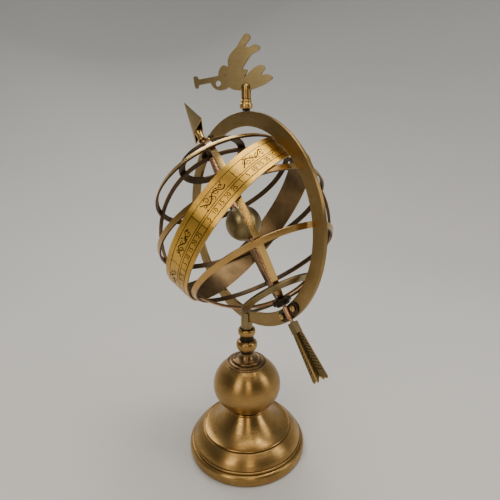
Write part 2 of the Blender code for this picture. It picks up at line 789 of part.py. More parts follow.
def finial_stud(parts):
    """The fixed stud on top of the ring: thread, washer and the spindle that the finial turns on."""
    profile = [
        (0.0, 360.6 * MM),
        (1.6 * MM, 360.6 * MM),
        (1.6 * MM, 351.7 * MM),
        (3.6 * MM, 351.7 * MM),
        (3.6 * MM, 350.3 * MM),
        (FINIAL_STUD_RADIUS, 350.3 * MM),
        (FINIAL_STUD_RADIUS, 343.6 * MM),
        (0.0, 343.6 * MM),
    ]
    stud = turned("finial_stud", profile, parts, steps=16)
    add_material(stud, "bronze_dark")


def finial_collar(parts, swivel):
    profile = [
        (4.4 * MM, 359.4 * MM),
        (5.0 * MM, 358.8 * MM),
        (5.0 * MM, 358.2 * MM),
        (4.5 * MM, 357.6 * MM),
        (5.0 * MM, 357.0 * MM),
        (5.0 * MM, 356.2 * MM),
        (5.6 * MM, 355.7 * MM),
        (5.7 * MM, 352.0 * MM),
        (1.9 * MM, 352.0 * MM),
        (1.9 * MM, 359.4 * MM),
    ]
    collar = turned("finial_collar", shifted(profile), parts, steps=28)
    place(collar, None, swivel)
    add_material(collar, "brass_polished")


def finial_post(parts, guides, swivel):
    """The round post, slotted across its domed top for the figure, bored below for the spindle."""
    profile = [
        (0.0, 372.6 * MM),
        (2.2 * MM, 372.3 * MM),
        (3.7 * MM, 371.4 * MM),
        (4.2 * MM, 370.2 * MM),
        (4.2 * MM, 359.7 * MM),
        (1.9 * MM, 359.7 * MM),
        (1.9 * MM, 361.0 * MM),
        (0.0, 361.0 * MM),
    ]
    post = turned("finial_post", shifted(profile), parts, steps=28)
    place(post, None, swivel)
    width = FINIAL_PLATE_THICKNESS + 2 * GAP
    slot = block("finial_slot", (20.0 * MM, width, 20.0 * MM), guides)
    middle = FINIAL_SLOT_FLOOR + 10.0 * MM - RING_CENTRE.z - RING_OUTER
    place(slot, finial_plane() @ Matrix.Translation((0.0, 0.0, middle)), swivel)
    combine(post, slot)
    add_material(post, "brass_satin")


def shifted(profile):
    """Heights above the base turned into heights above the top of the ring."""
    return [(radius, height - RING_CENTRE.z - RING_OUTER) for radius, height in profile]


def finial_plane():
    return Matrix.Rotation(FINIAL_PLATE_ANGLE, 4, "Z")


def figure_outline():
    """Plain silhouette of a winged figure with a long trumpet, x along the plate, y above the ring top."""
    horn_and_head = [
        (-50.9, 22.4, "VECTOR"),
        (-52.0, 29.8, "VECTOR"),
        (-49.7, 30.9, "AUTO"),
        (-46.9, 27.8, "AUTO"),
        (-26.6, 30.0, "VECTOR"),
        (-25.8, 34.2, "AUTO"),
        (-21.6, 38.1, "AUTO"),
        (-17.0, 36.6, "VECTOR"),
    ]
    upper_wing = [
        (-16.8, 42.5, "AUTO"),
        (-13.6, 47.6, "AUTO"),
        (-8.4, 52.0, "AUTO"),
        (-4.6, 57.2, "AUTO"),
        (1.4, 61.3, "AUTO"),
        (4.6, 58.4, "AUTO"),
        (-0.6, 52.2, "VECTOR"),
        (2.6, 50.7, "AUTO"),
        (9.4, 52.3, "AUTO"),
        (12.5, 49.8, "AUTO"),
        (5.0, 44.9, "AUTO"),
        (-3.6, 34.7, "VECTOR"),
    ]
    lower_wing = [
        (1.6, 33.4, "AUTO"),
        (-1.6, 27.6, "VECTOR"),
        (10.6, 35.8, "AUTO"),
        (15.4, 36.2, "AUTO"),
        (17.6, 33.8, "AUTO"),
        (13.8, 28.8, "VECTOR"),
        (20.3, 28.9, "AUTO"),
        (24.1, 26.0, "AUTO"),
        (21.0, 23.2, "AUTO"),
        (12.1, 19.4, "AUTO"),
        (2.4, 17.0, "AUTO"),
    ]
    body_and_arm = [
        (-6.3, 17.2, "AUTO"),
        (-13.1, 18.4, "AUTO"),
        (-16.4, 20.4, "VECTOR"),
        (-21.3, 18.2, "AUTO"),
        (-26.0, 18.0, "AUTO"),
        (-31.2, 20.2, "AUTO"),
        (-34.6, 24.6, "VECTOR"),
        (-46.9, 23.1, "AUTO"),
        (-48.8, 20.2, "AUTO"),
    ]
    points = horn_and_head + upper_wing + lower_wing + body_and_arm
    return [(x * MM, y * MM, handle) for x, y, handle in points]


def elbow_hole():
    centre = Vector((-27.0, 23.6)) * MM
    radii = Vector((3.0, 2.4)) * MM
    steps = [math.radians(angle) for angle in range(0, 360, 60)]
    return [
        (centre.x + radii.x * math.cos(a), centre.y + radii.y * math.sin(a), "AUTO") for a in steps
    ]


def finial_figure(parts, swivel):
    plate = flat_plate(
        "finial_figure", [figure_outline(), elbow_hole()], FINIAL_PLATE_THICKNESS, parts
    )
    figure = baked(plate)
    place(figure, finial_plane() @ Matrix.Rotation(math.pi / 2, 4, "X"), swivel)
    add_material(figure, "brass_satin")


# ----------------------------------------------------------------------- main


def main():
    clear_scene()
    parts = new_collection(COLLECTION_NAME)
    guides = new_collection("cutters_and_guides")
    guides.hide_render = True

    polar = polar_empty("polar_axis", parts)
    cage = polar_empty("cage_spin_axis", parts)
    swivel = bpy.data.objects.new("finial_swivel_axis", None)
    parts.objects.link(swivel)
    swivel.location = RING_CENTRE + Vector((0.0, 0.0, RING_OUTER))

    felt_pad(parts)
    base_foot(parts)
    tie_rod_set(parts, guides)
    base_ball(parts)
    ball_cap(parts)
    stem_knop(parts)
    stem_collar(parts)
    stem_fork(parts, guides)
    meridian_ring(parts, guides, polar)

    polar_rod(parts, polar)
    clamp("clamp_north", CLAMP_DISTANCE, parts, guides, polar)
    clamp("clamp_south", -CLAMP_DISTANCE, parts, guides, polar)
    clamp_screws(parts, guides, polar)
    arrow_head(parts, guides, polar)
    fletching(parts, guides, polar)
    centre_ball(parts, polar)
    rod_sleeve("sleeve_north", 1, parts, polar)
    rod_sleeve("sleeve_south", -1, parts, polar)

    cage_pieces(parts, guides, cage)

    finial_stud(parts)
    finial_collar(parts, swivel)
    finial_post(parts, guides, swivel)
    finial_figure(parts, swivel)

    bpy.context.view_layer.update()


main()
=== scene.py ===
"""Looks of the brass armillary sphere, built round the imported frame. Metres, +Z up.

Every piece is a finer mesh that stands for a CAD node in the same place. Pieces on the rod are made
in the polar frame, whose Z runs along the rod towards the arrow head.
"""

import json
import math
import random

import bmesh
import bpy
from mathutils import Matrix, Vector
from mathutils.geometry import delaunay_2d_cdt


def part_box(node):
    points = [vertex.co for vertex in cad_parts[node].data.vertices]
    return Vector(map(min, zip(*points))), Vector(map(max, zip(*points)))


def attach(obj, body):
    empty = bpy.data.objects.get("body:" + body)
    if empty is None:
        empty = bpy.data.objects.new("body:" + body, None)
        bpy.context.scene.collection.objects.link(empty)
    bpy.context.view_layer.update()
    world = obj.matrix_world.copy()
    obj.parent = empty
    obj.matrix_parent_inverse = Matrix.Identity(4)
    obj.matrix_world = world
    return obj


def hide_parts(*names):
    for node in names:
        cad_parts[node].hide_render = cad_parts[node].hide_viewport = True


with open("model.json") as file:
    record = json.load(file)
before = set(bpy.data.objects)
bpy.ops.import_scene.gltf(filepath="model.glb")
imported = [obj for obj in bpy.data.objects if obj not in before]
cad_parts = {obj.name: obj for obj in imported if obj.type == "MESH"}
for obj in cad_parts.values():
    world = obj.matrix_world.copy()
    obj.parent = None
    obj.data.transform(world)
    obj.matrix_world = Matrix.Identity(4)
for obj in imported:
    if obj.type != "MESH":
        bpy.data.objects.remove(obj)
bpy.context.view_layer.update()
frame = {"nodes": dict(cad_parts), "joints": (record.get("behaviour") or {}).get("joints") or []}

MM = 0.001
GAP = 0.3 * MM
SHARP = math.radians(32.0)

# Frames: the rod's axis and the finial's axis come from the joints.
JOINTS = {joint["name"]: joint for joint in frame["joints"]}
POLAR_CENTRE = Vector(JOINTS["cage_spin"]["pos_m"])
POLAR_TILT = math.atan2(-JOINTS["cage_spin"]["axis"][0], JOINTS["cage_spin"]["axis"][2])
POLAR = Matrix.Translation(POLAR_CENTRE) @ Matrix.Rotation(-POLAR_TILT, 4, "Y")
RING_CENTRE = Vector((0.0, 0.0, POLAR_CENTRE.z))
FINIAL = Matrix.Translation(Vector(JOINTS["finial_swivel"]["pos_m"]))
TO_MINUS_Y = Matrix.Rotation(math.radians(90.0), 4, "X")

# Meridian ring and rod.
RING_OUTER = 100.0 * MM
RING_INNER = 87.4 * MM
RING_THICKNESS = 3.6 * MM
ROD_RADIUS = 1.5 * MM
ROD_BORE = ROD_RADIUS + GAP
ROD_NORTH_END = 116.0 * MM
ROD_SOUTH_END = -111.0 * MM

# Cage.
HOOP_WIDTH = 5.2 * MM
COLURE_INNER = 78.5 * MM
COLURE_OUTER = 80.8 * MM
COLURE_A_ANGLE = math.radians(144.7)
COLURE_B_ANGLE = math.radians(54.7)
PARALLEL_OUTER = 83.2 * MM
PARALLEL_THICKNESS = 2.1 * MM
TROPIC_LATITUDE = math.radians(34.3)
POLAR_CIRCLE_LATITUDE = math.radians(66.9)
POLAR_CIRCLE_WIDTH = 7.6 * MM
ZODIAC_INNER = 83.6 * MM
ZODIAC_OUTER = 84.84 * MM
ZODIAC_WIDTH = 25.3 * MM
ZODIAC_TILT = math.radians(23.5)
ZODIAC_SOLSTICE_ANGLE = math.radians(55.0)
HUB_RADIUS = 8.8 * MM
HUB_TOP = 85.8 * MM
CENTRE_BALL_RADIUS = 16.9 * MM
SLEEVE_RADIUS = 3.0 * MM
SLEEVE_END = 78.0 * MM

# Clamps, arrow head and fletching.
CLAMP_DISTANCE = 93.3 * MM
CLAMP_LENGTH = 29.0 * MM
CLAMP_WIDTH = 10.6 * MM
CLAMP_PLATE = 1.2 * MM
CLAMP_TUBE_RADIUS = 2.5 * MM
CLAMP_TUBE_LENGTH = 11.4 * MM
CLAMP_SCREW_SPACING = 18.6 * MM
SCREW_HEAD_RADIUS = 2.6 * MM
SCREW_HEAD_HEIGHT = 1.7 * MM
SCREW_SLOT = 0.8 * MM
ARROW_BASE = 112.7 * MM
ARROW_TIP = 155.0 * MM
ARROW_HALF_WIDTH = 20.4 * MM
ARROW_HALF_THICKNESS = 5.4 * MM
ARROW_ROLL = math.radians(-12.8)
FERRULE_REAR = 101.7 * MM
SOCKET_START = 102.7 * MM
SOCKET_END = 113.0 * MM
SOCKET_SIDE = 6.9 * MM
VANE_NOTCH = 150.8 * MM
VANE_TIP = 155.6 * MM
VANE_ROOT_HALF = 4.6 * MM
VANE_TIP_HALF = 7.4 * MM
FLETCHING_ROLL = math.radians(5.0)
# The vanes are thinner than the CAD's, and turned further round the rod.
VANE_THICKNESS = 1.4 * MM
VANE_ROLL = math.radians(26.0)

# Turned stand.
FOOT_LEDGE_RADIUS = 46.4 * MM
FOOT_LEDGE_Z = 27.4 * MM
FOOT_NECK_RADIUS = 20.0 * MM
FOOT_NECK_Z = 46.0 * MM
FOOT_RADIUS = 62.35 * MM
BALL_CENTRE_Z = 75.8 * MM
BALL_RADIUS = 35.6 * MM
BALL_HALF_HEIGHT = 30.2 * MM
CAP_RADIUS = 20.7 * MM
TIE_ROD_BORE = 2.8 * MM

# Finial.
PLATE_THICKNESS = 2.0 * MM
PLATE_ANGLE = math.radians(29.0)
# Keeps the plate's curved edge inside the CAD's faceted one.
OUTLINE_SCALE = 0.999
SLOT_FLOOR = 16.4 * MM

# Camera.
CAMERA_PLACE = (0.29675, -0.2238, 0.33142)
CAMERA_TILT = math.radians(73.748)
CAMERA_HEADING = math.radians(52.47)
CAMERA_LENS = 28.842

# Steps round a turned piece, by its size, and the angle between the zodiac band's cross cuts.
FINE = 256
MEDIUM = 128
SMALL = 64
ARC_STEP = math.radians(2.0)

# Noise scales of the metals, per metre, and how far into a corner the patina and its painted shade reach.
BLOTCH_SCALE = 38.0
SPECK_SCALE = 420.0
STREAK_SCALE = 1300.0
HAIRLINE_SCALE = 5200.0
HAIRLINE_STRENGTH = 0.07
PATINA_AND_SHADE_REACH = 2.5 * MM


# ------------------------------------------------------------------ materials


class Graph:
    """Short calls for building one material's nodes."""

    def __init__(self, name):
        self.material = bpy.data.materials.new(name)
        self.material.use_nodes = True
        self.tree = self.material.node_tree
        self.shader = self.tree.nodes["Principled BSDF"]

    def node(self, kind, inputs=None, **settings):
        node = self.tree.nodes.new(f"ShaderNode{kind}")
        for key, value in settings.items():
            setattr(node, key, value)
        for socket, value in (inputs or {}).items():
            node.inputs[socket].default_value = value
        return node

    def link(self, source, target):
        self.tree.links.new(source, target)

    def noise(self, vector, scale, detail=3.0, roughness=0.55):
        node = self.node("TexNoise", {"Scale": scale, "Detail": detail, "Roughness": roughness})
        self.link(vector, node.inputs["Vector"])
        return node.outputs["Fac"]

    def ramp(self, source, low, high, from_value=0.0, to_value=1.0):
        node = self.node("MapRange", {"From Min": low, "From Max": high, "To Min": from_value,
                                      "To Max": to_value}, clamp=True)
        self.link(source, node.inputs["Value"])
        return node.outputs["Result"]

    def mix(self, factor, first, second):
        node = self.node("Mix", data_type="RGBA")
        self.link(factor, node.inputs["Factor"])
        for value, socket in ((first, node.inputs[6]), (second, node.inputs[7])):
            if isinstance(value, tuple):
                socket.default_value = (*value, 1.0)
            else:
                self.link(value, socket)
        return node.outputs[2]

    def math(self, operation, first, second):
        node = self.node("Math", operation=operation)
        for value, socket in ((first, node.inputs[0]), (second, node.inputs[1])):
            if isinstance(value, float):
                socket.default_value = value
            else:
                self.link(value, socket)
        return node.outputs[0]

    def bump(self, height, strength, distance):
        node = self.node("Bump", {"Strength": strength, "Distance": distance})
        self.link(height, node.inputs["Height"])
        self.link(node.outputs["Normal"], self.shader.inputs["Normal"])


def metal(name, bright, brown, patina_and_shade, roughness, blotch=0.5, recess=0.8, turned=True):
    """Antiqued brass: two tones in soft blotches, dark patina in the recesses that is partly painted shade,
    hairlines along the grain.
    """
    graph = Graph(name)
    place = graph.node("TexCoord").outputs["Object"]
    along = graph.node("Attribute", attribute_name="grain").outputs["Vector"]
    broad = graph.noise(place, BLOTCH_SCALE, 4.0)
    fine = graph.noise(place, SPECK_SCALE, 3.0, 0.65)
    streak = graph.noise(along, STREAK_SCALE, 2.0, 0.6)
    hair = graph.noise(along, HAIRLINE_SCALE, 1.0)
    tone = graph.mix(graph.ramp(broad, 0.38, 0.68, 0.0, blotch), bright, brown)
    tone = graph.mix(graph.ramp(streak, 0.45, 0.75, 0.0, 0.35), tone, brown)
    tone = graph.mix(graph.ramp(fine, 0.60, 0.74, 0.0, 0.45), tone, patina_and_shade)
    # Ambient occlusion darkens the recesses: partly real patina, partly painted shade in the grooves and
    # under the ledges.
    cover = graph.node("AmbientOcclusion", {"Distance": PATINA_AND_SHADE_REACH}, samples=8)
    recess_patina_and_shade = graph.ramp(cover.outputs["AO"], 0.30, 0.80, recess, 0.0)
    tone = graph.mix(recess_patina_and_shade, tone, patina_and_shade)
    graph.link(tone, graph.shader.inputs["Base Color"])
    shine = graph.ramp(graph.math("ADD", broad, streak), 0.7, 1.3, roughness - 0.06, roughness + 0.09)
    shine = graph.math("ADD", shine, graph.math("MULTIPLY", recess_patina_and_shade, 0.25))
    graph.link(shine, graph.shader.inputs["Roughness"])
    graph.shader.inputs["Metallic"].default_value = 1.0
    if turned:
        graph.shader.inputs["Anisotropic"].default_value = 0.7
        graph.shader.inputs["Anisotropic Rotation"].default_value = 0.25
        heading = graph.node("Attribute", attribute_name="grain_heading").outputs["Vector"]
        turn = graph.node("VectorTransform", vector_type="VECTOR", convert_from="OBJECT",
                          convert_to="WORLD")
        graph.link(heading, turn.inputs["Vector"])
        graph.link(turn.outputs["Vector"], graph.shader.inputs["Tangent"])
    graph.bump(graph.math("ADD", hair, graph.math("ADD", streak, fine)), HAIRLINE_STRENGTH, 0.2 * MM)
    return graph.material


def felt_material():
    graph = Graph("felt")
    place = graph.node("TexCoord").outputs["Object"]
    fibres = graph.noise(place, 2600.0, 4.0, 0.7)
    tufts = graph.noise(place, 500.0, 3.0)
    tone = graph.mix(graph.ramp(tufts, 0.3, 0.7), (0.012, 0.035, 0.02), (0.035, 0.085, 0.045))
    graph.link(tone, graph.shader.inputs["Base Color"])
    graph.shader.inputs["Roughness"].default_value = 0.95
    graph.shader.inputs["Sheen Weight"].default_value = 0.4
    graph.bump(fibres, 0.5, 0.3 * MM)
    return graph.material


# Dark tone for the specks of patina and for the recesses, where it is partly painted shade.
PATINA_AND_SHADE = (0.030, 0.018, 0.009)
SATIN = metal("satin_brass", (0.46, 0.28, 0.095), (0.23, 0.135, 0.045), PATINA_AND_SHADE, 0.30, blotch=0.65)
SATIN_FLAT = metal("satin_plate", (0.58, 0.42, 0.19), (0.32, 0.23, 0.10), PATINA_AND_SHADE, 0.38, turned=False)
FIGURE = metal("figure_brass", (0.31, 0.235, 0.115), (0.20, 0.15, 0.07), PATINA_AND_SHADE, 0.36, turned=False)
RING = metal("ring_brass", (0.36, 0.235, 0.09), (0.21, 0.145, 0.06), PATINA_AND_SHADE, 0.36, blotch=0.5)
POLISHED = metal("polished_brass", (0.72, 0.47, 0.16), (0.44, 0.27, 0.08), PATINA_AND_SHADE, 0.26, blotch=0.45)
ZODIAC = metal("zodiac_brass", (0.78, 0.46, 0.08), (0.34, 0.19, 0.05), PATINA_AND_SHADE, 0.33, blotch=0.65)
GOLD = metal("gold_brass", (0.58, 0.35, 0.115), (0.34, 0.20, 0.07), PATINA_AND_SHADE, 0.31, blotch=0.55)
AGED = metal("aged_brass", (0.22, 0.15, 0.07), (0.12, 0.08, 0.04), PATINA_AND_SHADE, 0.38)
DARK = metal("dark_bronze", (0.09, 0.065, 0.04), (0.045, 0.033, 0.022), PATINA_AND_SHADE, 0.42, turned=False)
# Near black for the hubs and the stud, and painted shade in the arrow's hollow and the stem's necks.
BLACK_AND_SHADE = metal("blackened", (0.045, 0.035, 0.025), (0.025, 0.020, 0.015), PATINA_AND_SHADE, 0.45)
COPPER = metal("coppery_brass", (0.60, 0.335, 0.18), (0.36, 0.19, 0.115), PATINA_AND_SHADE, 0.33)
# Painted shade: a dark copy of the brass for the hoops' inner faces and edges.
INNER_SHADE = metal("inner_painted_shade", (0.13, 0.085, 0.045), (0.05, 0.035, 0.02), PATINA_AND_SHADE, 0.40, blotch=0.7)
# Painted shade: a darker copy of the zodiac brass for the band's inner face.
ZODIAC_BACK_SHADE = metal("zodiac_back_painted_shade", (0.27, 0.175, 0.085), (0.10, 0.068, 0.038), PATINA_AND_SHADE, 0.42, blotch=0.8)
BROWN = metal("brown_brass", (0.25, 0.155, 0.07), (0.13, 0.08, 0.04), PATINA_AND_SHADE, 0.33, blotch=0.5)
FEATHER = metal("feather_brass", (0.24, 0.18, 0.085), (0.14, 0.105, 0.05), PATINA_AND_SHADE, 0.42, recess=0.3,
                turned=False)
OLIVE = metal("olive_brass", (0.31, 0.235, 0.11), (0.19, 0.145, 0.07), PATINA_AND_SHADE, 0.36, blotch=0.6)
ENGRAVED = metal("engraved_line", (0.035, 0.022, 0.010), (0.02, 0.013, 0.007), PATINA_AND_SHADE, 0.60, turned=False)
STEEL = metal("plain_steel", (0.50, 0.50, 0.50), (0.36, 0.36, 0.37), (0.1, 0.1, 0.1), 0.34)
FELT = felt_material()


# -------------------------------------------------------------- mesh builders


def finish_piece(bm, name, materials, frame_matrix, body, nodes, grain):
    """Makes the object, stores the grain direction, and hands the piece to the frame."""
    bmesh.ops.recalc_face_normals(bm, faces=bm.faces)
    mesh = bpy.data.meshes.new(name)
    bm.to_mesh(mesh)
    bm.free()
    turn = frame_matrix.to_3x3()
    places, headings = [], []
    for vertex in mesh.vertices:
        place, heading = grain(vertex.co)
        places.extend(place)
        headings.extend(turn @ heading)
    mesh.attributes.new("grain", "FLOAT_VECTOR", "POINT").data.foreach_set("vector", places)
    mesh.attributes.new("grain_heading", "FLOAT_VECTOR", "POINT").data.foreach_set("vector", headings)
    mesh.transform(frame_matrix)
    mesh.shade_smooth()
    mesh.set_sharp_from_angle(angle=SHARP)
    for material in materials:
        mesh.materials.append(material)
    piece = add_object(name, mesh)
    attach(piece, body)
    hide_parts(*nodes)


def add_object(name, data):
    item = bpy.data.objects.new(name, data)
    bpy.context.scene.collection.objects.link(item)
    return item


def mm(points):
    """Points given in millimetres, as vectors in metres."""
    return [Vector((x * MM, y * MM)) for x, y in points]


def around_z(point):
    """Hairlines that run round local Z: where the noise is read, and their heading."""
    radius = math.hypot(point.x, point.y)
    heading = Vector((-point.y, point.x, 0.0)) / max(radius, 1e-6)
    return (radius + 1.7 * point.z, 0.03 * point.x, 0.03 * point.y), heading


def along_x(point):
    """Straight hairlines along local X."""
    return (0.04 * point.x, point.y, point.z), Vector((1.0, 0.0, 0.0))


def rounded(section, radius, steps=3):
    """A closed section with each corner turned into a short curve."""
    points = []
    count = len(section)
    for index, corner in enumerate(section):
        here = Vector(corner)
        before = Vector(section[index - 1]) - here
        after = Vector(section[(index + 1) % count]) - here
        start = here + before.normalized() * min(radius, 0.42 * before.length)
        end = here + after.normalized() * min(radius, 0.42 * after.length)
        for step in range(steps + 1):
            share = step / steps
            points.append(start.lerp(here, share).lerp(here.lerp(end, share), share))
    return points


def smooth_curve(points, steps):
    """A Catmull-Rom curve through the points."""
    padded = [points[0], *points, points[-1]]
    curve = []
    for a, b, c, d in zip(padded, padded[1:], padded[2:], padded[3:]):
        a, b, c, d = Vector(a), Vector(b), Vector(c), Vector(d)
        for step in range(steps):
            t = step / steps
            curve.append(
                0.5 * ((2 * b) + (c - a) * t + (2 * a - 5 * b + 4 * c - d) * t * t
                       + (3 * b - a - 3 * c + d) * t ** 3)
            )
    curve.append(Vector(points[-1]))
    return curve


def turn_into(bm, section, steps, closed=True, material_of=None):
    """Turns a section of (radius, height) points about Z inside bm."""
    rings = []
    for radius, height in section:
        if radius < 1e-7:
            rings.append([bm.verts.new((0.0, 0.0, height))])
            continue
        angles = [math.tau * step / steps for step in range(steps)]
        rings.append([bm.verts.new((radius * math.cos(a), radius * math.sin(a), height)) for a in angles])
    pairs = list(zip(rings, rings[1:]))
    if closed:
        pairs.append((rings[-1], rings[0]))
    for index, (upper, lower) in enumerate(pairs):
        for step in range(steps):
            following = (step + 1) % steps
            corners = [upper[step % len(upper)], lower[step % len(lower)],
                       lower[following % len(lower)], upper[following % len(upper)]]
            unique = list(dict.fromkeys(corners))
            if len(unique) > 2:
                face = bm.faces.new(unique)
                if material_of:
                    face.material_index = material_of(index)


def lathe(name, section, materials, body="stand", frame_matrix=Matrix(), steps=FINE,
          nodes=None, closed=True, material_of=None):
    """A turned piece. An open section starts and ends on the axis."""
    bm = bmesh.new()
    turn_into(bm, section, steps, closed, material_of)
    finish_piece(bm, name, materials, frame_matrix, body, nodes or [name], around_z)


def rectangle(inner, outer, low, high):
    return [(outer, high), (outer, low), (inner, low), (inner, high)]


def bored_arc(radius, bore, steps):
    """Angles from Z round a ball, from one mouth of its bore to the other."""
    start = math.asin(bore / radius)
    return [start + (math.pi - 2 * start) * step / steps for step in range(steps + 1)]


def skin(bm, rows, capped=True):
    """Joins closed rows of vertices, and caps the first and last of them."""
    for lower, upper in zip(rows, rows[1:]):
        for here in range(len(lower)):
            following = (here + 1) % len(lower)
            bm.faces.new([lower[here], lower[following], upper[following], upper[here]])
    if capped:
        bm.faces.new(rows[0])
        bm.faces.new(rows[-1])


def slotted_cheeks(bm, levels, slot_half, steps):
    """Two half-round cheeks either side of a slot along X, through levels of (height, radius)."""
    for side in (1, -1):
        rows = []
        for height, radius in levels:
            limit = math.asin(slot_half / radius)
            angles = [limit + (math.pi - 2 * limit) * step / steps for step in range(steps + 1)]
            rows.append([bm.verts.new((radius * math.cos(a), side * radius * math.sin(a), height))
                         for a in angles])
        skin(bm, rows)


# ------------------------------------------------------------------ engraving


def counter_clockwise(polygon):
    """The polygon, turned round if it runs clockwise."""
    area = sum(a[0] * b[1] - b[0] * a[1] for a, b in zip(polygon, [*polygon[1:], polygon[0]]))
    return polygon if area > 0 else polygon[::-1]


def stroke(points, width):
    """A line of this width through the points, as one four-sided patch per segment."""
    points = [Vector(point) for point in points]
    sides = []
    for index, point in enumerate(points):
        before = points[max(index - 1, 0)]
        after = points[min(index + 1, len(points) - 1)]
        heading = (after - before).normalized()
        side = Vector((-heading.y, heading.x)) * width / 2
        sides.append((point + side, point - side))
    return [[first[0], first[1], second[1], second[0]] for first, second in zip(sides, sides[1:])]


def inside_test(polygons):
    """A test of whether a point of the plan lies in any of the polygons."""
    column_width = 1.5 * MM
    columns = {}
    for polygon in polygons:
        xs = [point[0] for point in polygon]
        for column in range(math.floor(min(xs) / column_width), math.floor(max(xs) / column_width) + 1):
            columns.setdefault(column, []).append(polygon)

    def inside(x, y):
        for polygon in columns.get(math.floor(x / column_width), ()):
            odd = False
            for (ax, ay), (bx, by) in zip(polygon, [*polygon[1:], polygon[0]]):
                if (ay > y) != (by > y) and x < ax + (y - ay) * (bx - ax) / (by - ay):
                    odd = not odd
            if odd:
                return True
        return False

    return inside


def engraved_sheet(bm, outlines, strokes, cuts, depth, low, high, bend, rim_material=3):
    """A sheet with the strokes cut into its upper face as grooves.

    The plan is flat: outlines bound the sheet, cuts are lines that only add points, and bend maps
    (x, y, height) to the final place. Groove floors and walls take material 1, the lower face takes
    material 2, and the edge of the sheet takes rim_material.
    """
    points, edges, faces = [], [], []
    for polygon in [*outlines, *strokes]:
        start = len(points)
        points.extend(Vector(point[:2]) for point in counter_clockwise(polygon))
        faces.append(list(range(start, len(points))))
    for first, second in cuts:
        edges.append((len(points), len(points) + 1))
        points.extend((Vector(first), Vector(second)))
    plan, _, triangles, _, _, sources = delaunay_2d_cdt(points, edges, faces, 0, 1e-7)
    holes = set(range(1, len(outlines)))
    in_stroke = inside_test(strokes)
    kept = []
    for triangle, owners in zip(triangles, sources):
        if 0 in owners and not holes.intersection(owners):
            middle = sum((plan[index] for index in triangle), Vector((0.0, 0.0))) / 3
            kept.append((triangle, in_stroke(middle.x, middle.y)))
    levels = {}

    def vertex(index, level):
        key = (index, level)
        if key not in levels:
            levels[key] = bm.verts.new(bend(plan[index].x, plan[index].y, level))
        return levels[key]

    floor = high - depth
    sides = {}
    for triangle, is_groove in kept:
        top = floor if is_groove else high
        face = bm.faces.new([vertex(index, top) for index in triangle])
        face.material_index = 1 if is_groove else 0
        under = bm.faces.new([vertex(index, low) for index in reversed(triangle)])
        under.material_index = 2
        for first, second in zip(triangle, [*triangle[1:], triangle[0]]):
            sides[(first, second)] = top
    for (first, second), top in sides.items():
        other = sides.get((second, first))
        if other is None:
            rim = bm.faces.new([vertex(second, top), vertex(first, top),
                                vertex(first, low), vertex(second, low)])
            rim.material_index = rim_material
        elif other < top:
            wall = bm.faces.new([vertex(second, top), vertex(first, top),
                                 vertex(first, other), vertex(second, other)])
            wall.material_index = 1


def spiral(centre, size, turns, start, hand):
    """A scroll that winds in to its centre."""
    steps = max(6, round(turns * 12))
    points = []
    for step in range(steps + 1):
        share = step / steps
        angle = start + hand * math.tau * turns * share
        radius = size * (1.0 - 0.82 * share)
        points.append(Vector(centre) + Vector((math.cos(angle), math.sin(angle))) * radius)
    return points


def leaf(base, length, angle, width):
    """A pointed leaf as a filled outline."""
    along = Vector((math.cos(angle), math.sin(angle)))
    across = Vector((-along.y, along.x))
    shape = [(0.0, 0.0), (0.3, 0.5), (0.65, 0.42), (1.0, 0.0), (0.6, -0.28), (0.25, -0.3)]
    return [Vector(base) + along * length * x + across * width * y for x, y in shape]


def scrollwork(middle, index):
    """One cell's ornament: a waving stem with scrolls and leaves, a little different in each cell."""
    draw = random.Random(400 + index)
    flip = 1 if index % 2 else -1
    wave = ((-12.5, -3.0), (-9.6, -0.6), (-6.0, 2.2), (-2.0, 0.4),
            (1.6, -2.1), (5.6, -0.2), (9.0, 2.6), (12.3, 1.0))
    stem = [middle + Vector((x * MM, flip * y * MM)) for x, y in wave]
    shapes = stroke(smooth_curve(stem, 4), 0.9 * MM)
    scrolls = ((-9.6, 1.9, -1), (-6.0, 2.6, 1), (-1.2, 2.2, -1), (4.2, 2.7, 1), (9.4, 2.1, 1))
    for place, size, hand in scrolls:
        centre = middle + Vector((place * MM, flip * hand * draw.uniform(-1.7, -0.9) * MM))
        curl = spiral(centre, size * MM, draw.uniform(0.95, 1.25), draw.uniform(0.0, math.tau), hand * flip)
        shapes += stroke(curl, 0.62 * MM)
    for _ in range(10):
        base = middle + Vector((draw.uniform(-11.5, 10.5) * MM, draw.uniform(-3.4, 3.2) * MM))
        angle = draw.uniform(-0.9, 0.9) + (0.0 if draw.random() < 0.5 else math.pi)
        shapes.append(leaf(base, draw.uniform(1.8, 2.8) * MM, angle, 1.2 * MM))
    return shapes


def arc(centre, radii, start, end, steps):
    angles = [math.radians(start + (end - start) * step / steps) for step in range(steps + 1)]
    return [(centre[0] + radii[0] * math.cos(a), centre[1] + radii[1] * math.sin(a)) for a in angles]


DIGITS = {
    "0": [arc((0.5, 0.5), (0.42, 0.5), 92, 448, 14)],
    "1": [[(0.25, 0.75), (0.55, 1.0), (0.55, 0.0)]],
    "2": [arc((0.5, 0.7), (0.4, 0.3), 165, -30, 8) + [(0.1, 0.0), (0.92, 0.0)]],
    "5": [[(0.9, 1.0), (0.22, 1.0), (0.16, 0.56)],
          [(0.16, 0.56)] + arc((0.46, 0.3), (0.42, 0.3), 125, -150, 8)],
    "3": [arc((0.45, 0.74), (0.38, 0.26), 150, -80, 7), arc((0.45, 0.26), (0.42, 0.26), 85, -150, 7)],
}


def numeral(text, left, low, height, line):
    """The digits of a number as engraved lines, with left and low at its lower left corner."""
    shapes = []
    width = 0.56 * height
    for position, digit in enumerate(text):
        for line_points in DIGITS[digit]:
            origin = Vector((left + position * 1.35 * width, low))
            points = [origin + Vector((x * width, y * height)) for x, y in line_points]
            shapes += stroke(points, line)
    return shapes


# ---------------------------------------------------------------------- stand


